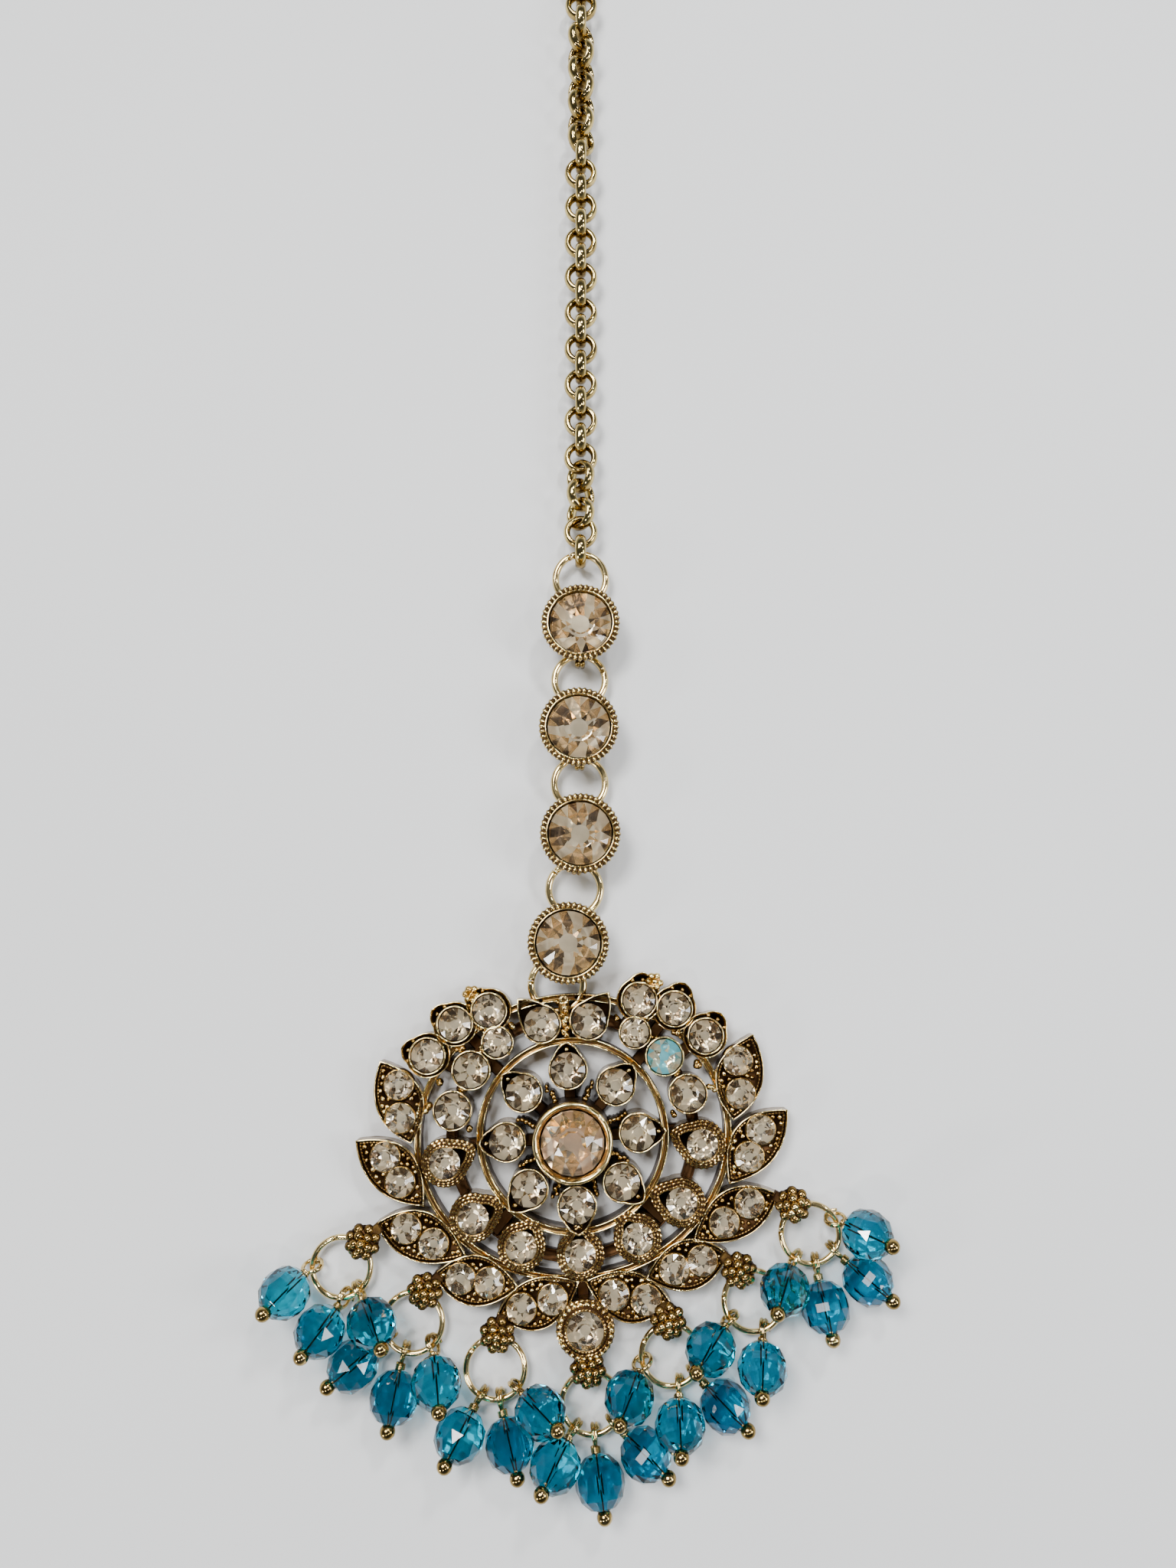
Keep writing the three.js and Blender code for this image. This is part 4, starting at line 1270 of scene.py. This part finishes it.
class TIKKA_OT_cups(bpy.types.Operator):
    """Round cups, the two flower clusters and the top teardrops with their ring eye"""

    bl_idname = "tikka.cups"
    bl_label = "Cups"

    def execute(self, context):
        shape = Shape(TURN)
        chance = random.Random(11)
        for sign in (1, -1):
            for x, y, stone in ROUND_CUPS:
                collet(shape, circle(share(sign * x, y), stone / 2 + COLLET_WALL), OUTER_HEIGHT, COLLET_WALL)
            for x, y, stone in FLOWER_CUPS:
                self.flower_cup(shape, share(sign * x, y), stone)
            self.granules(shape, sign, chance)
        for sign in (1, -1):
            at, tip = sided(TOP_CUP[0], sign), sided(TOP_CUP[1], sign)
            collet(shape, teardrop(at, tip, PETAL_STONE / 2 + COLLET_WALL), OUTER_HEIGHT, COLLET_WALL)
        self.ring_eye(shape)
        shape.frame_piece("cup_collets")
        return {"FINISHED"}

    def flower_cup(self, shape, at, stone):
        """A cup with a lower scalloped wall standing out behind it."""
        outer = stone / 2 + COLLET_WALL
        collet(shape, circle(at, outer), OUTER_HEIGHT, COLLET_WALL)
        away = math.atan2(at.y, at.x)
        outline = teardrop(at, at + polar(outer + 1.25, away + 0.25), outer + 0.5)
        collet(shape, outline, OUTER_HEIGHT - 0.8, 0.4)
        for step in (-0.5, 0, 0.5):
            spot = at + polar(outer + 0.28, away + 0.25 + step)
            shape.ball((*spot, OUTER_HEIGHT - 0.95), 0.3, patina_and_shade=0.3)

    def granules(self, shape, sign, chance):
        """Small granules in the corners between the cups."""
        spots = [((0.385, 0.53), 0.5), ((0.5, 0.45), 0.5), ((0.6, 0.3), 0.55), ((0.405, 0.43), 0.4),
                 ((0.66, 0.19), 0.5), ((0.5, 0.26), 0.45), ((0.47, 0.09), 0.4), ((0.245, 0.53), 0.45)]
        for place, radius in spots:
            at = sided(place, sign)
            for _ in range(3):
                shift = polar(radius * chance.random(), 2 * math.pi * chance.random())
                shape.ball((*(at + shift), 2.6 + 0.5 * chance.random()),
                           radius * (0.7 + 0.4 * chance.random()), patina_and_shade=0.25)
        for angle in range(7):
            spot = share(sign * 0.43, 0.69) + polar(0.75 if angle else 0, angle)
            shape.ball((*spot, 3.0), 0.5, patina_and_shade=0.2)

    def ring_eye(self, shape):
        at = share(*TOP_EYE)
        top = eye_top(CONNECTOR_WIRE)
        reach = at.y + CONNECTOR_WIRE / 2 + EYE_ROOM + EYE_LEG
        staple(shape, at, math.radians(90 + RING_LEAN), CONNECTOR_WIRE, top + 0.3)
        block(shape, share(0, TOP_CUP[0][1]), Vector((at.x, reach)), EYE_WIDTH, top, top + 1, 0.5)
        right = share(*TOP_CUP[0])
        block(shape, Vector((-right.x, right.y)), right, EYE_WIDTH, 0.0, OUTER_HEIGHT - 1.7, 0.9)
        for i in range(9):
            spot = Vector((0.25 * math.sin(i * 2.4), at.y + 0.4 - i * 0.42))
            shape.ball((*spot, top + 1.05), 0.42, patina_and_shade=0.1 + 0.05 * (i % 3))
        loop = circle((0, at.y + 1.35), 0.42, 14)
        shape.sweep(at_height(loop, top + 1.1), 0.2, 8, True, patina_and_shade=0.1)


class TIKKA_OT_milled_petals(bpy.types.Operator):
    """Seven teardrops with broad milled rims, and the round milled cup at the bottom"""

    bl_idname = "tikka.milled_petals"
    bl_label = "Milled Petals"

    def execute(self, context):
        shape = Shape(TURN)
        radius = MILLED_STONE / 2 + MILLED_WALL
        for at, tip in MILLED_CUPS:
            for sign in (1, -1):
                outline = teardrop(sided(at, sign), sided(tip, sign), radius)
                milled_wall(shape, outline, OUTER_HEIGHT, MILLED_WALL)
        milled_wall(shape, teardrop(share(*BOTTOM_PETAL[0]), share(*BOTTOM_PETAL[1]), radius),
                    OUTER_HEIGHT, MILLED_WALL)
        at = share(*DROP_CUP)
        milled_wall(shape, circle(at, DROP_STONE / 2 + DROP_WALL, 48), OUTER_HEIGHT, DROP_WALL)
        for i in range(26):
            spot = at + polar(DROP_STONE / 2 + 0.72, 2 * math.pi * i / 26)
            shape.ball((*spot, OUTER_HEIGHT - 0.22), 0.3, patina_and_shade=0.12)
        shape.frame_piece("milled_collets")
        return {"FINISHED"}


def leaf_outline(row, sign):
    """The two bowed sides of a leaf, from its inner end to its tip and back."""
    tip, end, far, near = (sided(point, sign) for point in row)
    chord = (tip + end) / 2
    middle = (far + near) / 2
    side = (tip - end).normalized()
    side = Vector((-side.y, side.x)) * LEAF_HALF_WIDTH
    sides = []
    for bow in (-side, side):
        control = (middle + bow) * 2 - chord
        shares = [i / LEAF_STEPS for i in range(LEAF_STEPS)]
        sides.append([end * (1 - t) ** 2 + control * 2 * t * (1 - t) + tip * t ** 2 for t in shares])
    return sides[0] + [tip] + list(reversed(sides[1][1:]))


def inside(outline, point):
    """Whether a point lies within a closed outline."""
    within = False
    for i, corner in enumerate(outline):
        before = outline[i - 1]
        if (corner.y > point.y) != (before.y > point.y):
            across = corner.x + (point.y - corner.y) * (before.x - corner.x) / (before.y - corner.y)
            if point.x < across:
                within = not within
    return within


class TIKKA_OT_leaves(bpy.types.Operator):
    """Ten leaves with raised milled rims, granulated beds and stone seats"""

    bl_idname = "tikka.leaves"
    bl_label = "Leaves"

    def execute(self, context):
        shape = Shape(TURN)
        chance = random.Random(5)
        granule = context.scene.tikka_sizes.granule / MM / 2
        for row in LEAVES:
            for sign in (1, -1):
                self.leaf(shape, row, sign, chance, granule)
        shape.frame_piece("leaf_plates")
        return {"FINISHED"}

    def leaf(self, shape, row, sign, chance, granule):
        outline = leaf_outline(row, sign)
        floor = LEAF_HEIGHT - 0.8
        # The leaf walls darken from the rim down to the bed: patina and painted shade
        shape.walls(outline, (
            (-0.1, 0.0, 0.7), (0, 0.15, 0.5), (0, LEAF_HEIGHT - 0.6, 0.4), (0.04, LEAF_HEIGHT - 0.24, 0.3),
            (0.04, LEAF_HEIGHT - 0.1, 0.0), (-0.05, LEAF_HEIGHT, 0.0), (-0.13, LEAF_HEIGHT - 0.08, 0.2),
            (-0.2, LEAF_HEIGHT - 0.4, 1.0), (-0.24, floor, 1.0),
        ))
        nubs(shape, offset(outline, -0.42), LEAF_HEIGHT - 0.42, 0.17, 0.42, 0.3)
        stones = [sided(row[2], sign), sided(row[3], sign)]
        seat = LEAF_STONE / 2
        for at in stones:
            profile = ((seat + 0.2, floor - 0.1, 1.0), (seat + 0.16, LEAF_HEIGHT - 0.3, 0.9),
                       (seat + 0.06, LEAF_HEIGHT - 0.05, 0.3), (seat - 0.06, LEAF_HEIGHT - 0.03, 0.3),
                       (seat - 0.1, LEAF_HEIGHT - 0.3, 1.0), (seat - 0.1, floor - 0.1, 1.0))
            shape.lathe(profile, 24, at)
        self.granules(shape, outline, stones, floor, chance, granule)

    def granules(self, shape, outline, stones, floor, chance, granule):
        """Grains strewn over the bed, clear of the stone seats and of each other."""
        bed = offset(outline, -0.66)
        left, right = min(p.x for p in bed), max(p.x for p in bed)
        bottom, top = min(p.y for p in bed), max(p.y for p in bed)
        placed = []
        for _ in range(GRANULE_TRIES):
            x = left + (right - left) * chance.random()
            spot = Vector((x, bottom + (top - bottom) * chance.random()))
            if not inside(bed, spot):
                continue
            if min((spot - at).length for at in stones) < LEAF_STONE / 2 + 0.3:
                continue
            if placed and min((spot - other).length for other in placed) < granule * 1.8:
                continue
            placed.append(spot)
            shape.ball((*spot, floor + granule * 0.7), granule * (0.85 + 0.3 * chance.random()),
                       patina_and_shade=0.05 + 0.3 * chance.random(), sides=6, rows=4)


class TIKKA_OT_rosettes(bpy.types.Operator):
    """Seven granule rosettes on the eyes of the drop rings"""

    bl_idname = "tikka.rosettes"
    bl_label = "Rosettes"

    def execute(self, context):
        shape = Shape(TURN)
        chance = random.Random(3)
        for name, (place, heading, hold) in ROSETTES.items():
            at = share(*place)
            staple(shape, ahead_of(name, ROSETTE_EYE_AHEAD), math.radians(heading), JUMP_WIRE,
                   ROSETTE_BASE + 0.3)
            block(shape, share(*hold), at, EYE_WIDTH, ROSETTE_BASE, ROSETTE_BASE + 1, 0.7)
            shape.lathe([(0, ROSETTE_BASE, 0.8), (1.9, ROSETTE_BASE, 0.8), (2.0, ROSETTE_BASE + 0.5, 0.9),
                         (1.4, ROSETTE_BASE + 1.1, 1.0), (0, ROSETTE_BASE + 1.2, 1.0)], 18, at)
            spin = chance.random()
            for count, reach, turn, lift, radius, patina_and_shade, foot in ROSETTE_ROWS:
                for i in range(count):
                    spot = at + polar(reach, spin + turn + 2 * math.pi * i / count)
                    # Each ball is painted lighter on top and darker at its foot: painted shade
                    shape.ball((*spot, ROSETTE_BASE + lift), radius, 0, patina_and_shade, 10, 8, foot)
        shape.frame_piece("granule_rosettes")
        return {"FINISHED"}


class TIKKA_OT_small_stones(bpy.types.Operator):
    """All the small stones of the pendant"""

    bl_idname = "tikka.small_stones"
    bl_label = "Small Stones"

    def execute(self, context):
        shape = Shape(TURN)
        chance = random.Random(21)

        def stone(at, diameter, height, rise=CROWN_RISE, backing=1):
            girdle = height - GIRDLE_DROP
            turn = chance.random()
            table_share = 0.42 + 0.16 * chance.random()
            gem(shape, at, diameter / 2 * STONE_GRIP, girdle, height + rise, girdle - PAVILION_DEPTH, 8, turn,
                table_share, backing)

        for i in range(INNER_PETALS["count"]):
            stone(petal_places(i)[0], PETAL_STONE, PETAL_HEIGHT)
        for sign in (1, -1):
            for x, y, size in ROUND_CUPS + FLOWER_CUPS:
                flashes = sign > 0 and (x, y, size) == ROUND_CUPS[FLASH_CUP]
                stone(share(sign * x, y), size, OUTER_HEIGHT, CROWN_RISE, 4 if flashes else 1)
            stone(sided(TOP_CUP[0], sign), PETAL_STONE, OUTER_HEIGHT)
            for at, _ in MILLED_CUPS:
                stone(sided(at, sign), MILLED_STONE * MILLED_SHOWN, OUTER_HEIGHT - 0.1)
            for row in LEAVES:
                for place in row[2:]:
                    spot = sided(place, sign)
                    gem(shape, spot, LEAF_STONE * 0.49, LEAF_HEIGHT - 0.05, LEAF_HEIGHT + 0.65,
                        LEAF_HEIGHT - 0.78, 8, chance.random(), 0.42 + 0.1 * chance.random())
        stone(share(*BOTTOM_PETAL[0]), MILLED_STONE * MILLED_SHOWN, OUTER_HEIGHT - 0.1)
        stone(share(*DROP_CUP), DROP_STONE * MILLED_SHOWN, OUTER_HEIGHT, 0.7)
        # The clear crown, the foils of a plain stone and, from the fourth on, those of the flashing one
        backs = [crystal_foil(), mirror_foil(), painted_shade_foil()]
        finishes = [crystal(), *backs, flash_foil(), crystal_foil(), mirror_foil()]
        shape.piece("pendant_crystals", finishes, "pendant_frame")
        return {"FINISHED"}


class TIKKA_OT_bead_drops(bpy.types.Operator):
    """Faceted glass beads on ball-ended pins"""

    bl_idname = "tikka.bead_drops"
    bl_label = "Bead Drops"

    def execute(self, context):
        diameter = context.scene.tikka_sizes.bead_diameter / MM
        drops = [(ring, *row) for ring, rows in DROPS.items() for row in rows]
        for index, row in enumerate(drops):
            name = f"{index + 1:02d}"
            shape = Shape(TURN @ self.place(*row))
            self.bead(shape, diameter / 2, 0.13 * index)
            self.pin(shape, index)
            shape.piece(f"glass_drop_{name}", [teal_glass(), ball_gold()], f"bead_drop_{name}")
        return {"FINISHED"}

    def place(self, ring, at_degrees, azimuth, pitch):
        """Where a drop's loop grips its ring, and the way that its pin points."""
        at = math.radians(at_degrees - PENDANT_TURN)
        way = math.radians(azimuth - PENDANT_TURN)
        centre = ahead_of(ring, ROSETTE_EYE_AHEAD + JUMP_RADIUS)
        along = Vector((math.cos(way), math.sin(way), math.tan(math.radians(pitch)))).normalized()
        tangent = Vector((-math.sin(at), math.cos(at), 0))
        normal = (tangent - along * tangent.dot(along)).normalized()
        side = normal.cross(along)
        turn = Matrix((side, normal, along)).transposed().to_4x4()
        spot = centre + polar(JUMP_RADIUS, at)
        return Matrix.Translation((*spot, JUMP_LEVEL)) @ turn

    def bead(self, shape, radius, spin):
        """A faceted bead; each row is a share of its radius and a share of its length."""
        start = (PIN_LOOP_INNER + PIN_WIRE) / 2 + PIN_NECK
        rows = ((0.26, 0.0), (0.52, 0.04), (0.86, 0.2), (1.0, 0.42), (1.0, 0.58), (0.86, 0.8), (0.52, 0.96),
                (0.26, 1.0))
        sides = 12
        points, faces = [], []
        for i, (reach, along) in enumerate(rows):
            shift = 0.5 if i in (3, 4) else 0.0
            for j in range(sides):
                spot = polar(reach * radius, spin + 2 * math.pi * (j + shift) / sides)
                points.append((*spot, start + along * BEAD_LENGTH))
        for i in range(len(rows) - 1):
            low, high = i * sides, (i + 1) * sides
            for j in range(sides):
                k = (j + 1) % sides
                if i == 2:
                    faces += [(low + j, low + k, high + j), (low + k, high + k, high + j)]
                elif i == 4:
                    faces += [(low + j, high + k, high + j), (low + j, low + k, high + k)]
                else:
                    faces.append((low + j, low + k, high + k, high + j))
        faces.append(tuple(reversed(range(sides))))
        faces.append(tuple(range((len(rows) - 1) * sides, len(rows) * sides)))
        shape.add(points, faces, 0, False, 0)

    def pin(self, shape, index):
        """The pin in its bead, its loop, the tail that doubles the loop, the coil and the ball."""
        loop = (PIN_LOOP_INNER + PIN_WIRE) / 2
        start = loop + PIN_NECK
        end = start + BEAD_LENGTH
        quarter = math.pi / 2
        path = [(spot.x, 0, spot.y) for spot in arc(loop, quarter + PIN_LOOP_GAP, 5 * quarter, 25)]
        path.append((0, 0, start + 0.1))
        shape.sweep(path, PIN_WIRE / 2, 8, finish=1, patina_and_shade=0.2)
        # The core inside the bead is painted dark: painted shade
        shape.sweep([(0, 0, start), (0, 0, end + 0.2)], PIN_CORE_RADIUS, 6, finish=1, patina_and_shade=0.9)
        coil = []
        for i, spot in enumerate(arc(COIL_RADIUS, index, index + COIL_TURNS * 2 * math.pi, 42)):
            coil.append((*spot, loop + 0.05 + (PIN_NECK - 0.15) * i / 42))
        shape.sweep(coil, COIL_WIRE_RADIUS, 6, finish=1, patina_and_shade=0.25)
        tail = []
        for i in range(24):
            angle = 0.5 + (2 * math.pi - 0.9) * i / 23
            aside = PIN_TAIL_REACH * (1 - math.cos(angle / 2))
            tail.append((loop * 0.94 * math.cos(angle), aside, loop * math.sin(angle)))
        shape.sweep(tail, TAIL_WIRE_RADIUS, 6, finish=1, patina_and_shade=0.2)
        shape.ball((0, 0, end + PIN_BALL / 2 - 0.3), PIN_BALL / 2, 1, 0.35, 16, 10)


def facing(way):
    return Vector(way).to_track_quat("-Z", "Y").to_euler()


class TIKKA_OT_stage(bpy.types.Operator):
    """Pale floor, soft studio light and the camera"""

    bl_idname = "tikka.stage"
    bl_label = "Stage"

    def execute(self, context):
        scene = context.scene
        self.floor(scene)
        self.world(scene)
        self.sun()
        for name, values in LIGHTS.items():
            self.light(name, *values)
        for index, place in enumerate(SPARKLE_PLACES):
            self.light(f"sparkle_light_{index + 1}", place, *SPARKLE)
        data = bpy.data.cameras.new("camera")
        data.sensor_width = FILM_HEIGHT
        data.lens = FILM_HEIGHT * FOCAL_PIXELS / PICTURE_PIXELS
        data.clip_start = 0.005
        data.clip_end = 10
        camera = self.put(data, CAMERA_PLACE)
        camera.rotation_euler = (math.radians(CAMERA_TILT), 0, 0)
        scene.camera = camera
        return {"FINISHED"}

    def put(self, data, place=(0, 0, 0)):
        made = bpy.data.objects.new(data.name, data)
        made.location = place
        bpy.context.scene.collection.objects.link(made)
        return made

    def floor(self, scene):
        reach = FLOOR_REACH
        corners = [(-reach, -reach, 0), (reach, -reach, 0), (reach, reach, 0), (-reach, reach, 0)]
        mesh = bpy.data.meshes.new("floor")
        mesh.from_pydata(corners, [], [(0, 1, 2, 3)])
        tone = scene.tikka_colours.floor
        mesh.materials.append(material("floor_paint", self.paint, tone))
        self.put(mesh)

    def paint(self, nodes, sockets, tone):
        cloud(nodes, sockets, tone, deeper(tone, 0.97), 12)
        sockets["Roughness"].default_value = 0.85

    def world(self, scene):
        world = bpy.data.worlds.new("studio")
        world.use_nodes = True
        nodes = Nodes(world.node_tree)
        back = world.node_tree.nodes["Background"]
        place = nodes.add("ShaderNodeTexCoord")
        parts = nodes.add("ShaderNodeSeparateXYZ", {0: place.outputs["Generated"]})
        rise = nodes.ramp(parts.outputs["Z"], 0.0, HORIZON_HEIGHT, interpolation_type="SMOOTHSTEP")
        sky = nodes.add("ShaderNodeMix", {0: rise}, {6: HORIZON_COLOUR, 7: ZENITH_COLOUR}, data_type="RGBA")
        world.node_tree.links.new(sky.outputs[2], back.inputs["Color"])
        back.inputs["Strength"].default_value = 1
        scene.world = world

    def sun(self):
        data = bpy.data.lights.new("soft_sun", "SUN")
        data.energy = SUN_POWER
        data.angle = math.radians(SUN_SPREAD)
        self.put(data).rotation_euler = facing(SUN_WAY)

    def light(self, name, place, target, size, power, color):
        data = bpy.data.lights.new(name, "AREA")
        data.size = size
        data.energy = power
        data.color = color
        self.put(data, place).rotation_euler = facing(Vector(target) - Vector(place))


class TIKKA_PT_panel(bpy.types.Panel):
    """Lists the pieces of the tikka"""

    bl_label = "Maang Tikka"
    bl_idname = "TIKKA_PT_panel"
    bl_space_type = "VIEW_3D"
    bl_region_type = "UI"
    bl_category = "Tikka"

    def draw(self, context):
        layout = self.layout
        for step in STEPS:
            layout.operator(step.bl_idname)
        for group in (context.scene.tikka_sizes, context.scene.tikka_colours):
            for key in group.bl_rna.properties.keys():
                if key not in ("rna_type", "name"):
                    layout.prop(group, key)


STEPS = (
    TIKKA_OT_chain,
    TIKKA_OT_hair_hook,
    TIKKA_OT_rings,
    TIKKA_OT_settings,
    TIKKA_OT_large_stones,
    TIKKA_OT_bands,
    TIKKA_OT_petals,
    TIKKA_OT_cups,
    TIKKA_OT_milled_petals,
    TIKKA_OT_leaves,
    TIKKA_OT_rosettes,
    TIKKA_OT_small_stones,
    TIKKA_OT_bead_drops,
    TIKKA_OT_stage,
)
CLASSES = (TikkaColours, TikkaSizes, *STEPS, TIKKA_PT_panel)


def register():
    for kind in CLASSES:
        bpy.utils.register_class(kind)
    bpy.types.Scene.tikka_colours = PointerProperty(type=TikkaColours)
    bpy.types.Scene.tikka_sizes = PointerProperty(type=TikkaSizes)


def unregister():
    del bpy.types.Scene.tikka_sizes
    del bpy.types.Scene.tikka_colours
    for kind in reversed(CLASSES):
        bpy.utils.unregister_class(kind)


def main():
    register()
    bpy.ops.tikka.chain()
    bpy.ops.tikka.hair_hook()
    bpy.ops.tikka.rings()
    bpy.ops.tikka.settings()
    bpy.ops.tikka.large_stones()
    bpy.ops.tikka.bands()
    bpy.ops.tikka.petals()
    bpy.ops.tikka.cups()
    bpy.ops.tikka.milled_petals()
    bpy.ops.tikka.leaves()
    bpy.ops.tikka.rosettes()
    bpy.ops.tikka.small_stones()
    bpy.ops.tikka.bead_drops()
    bpy.ops.tikka.stage()


if __name__ == "__main__":
    main()
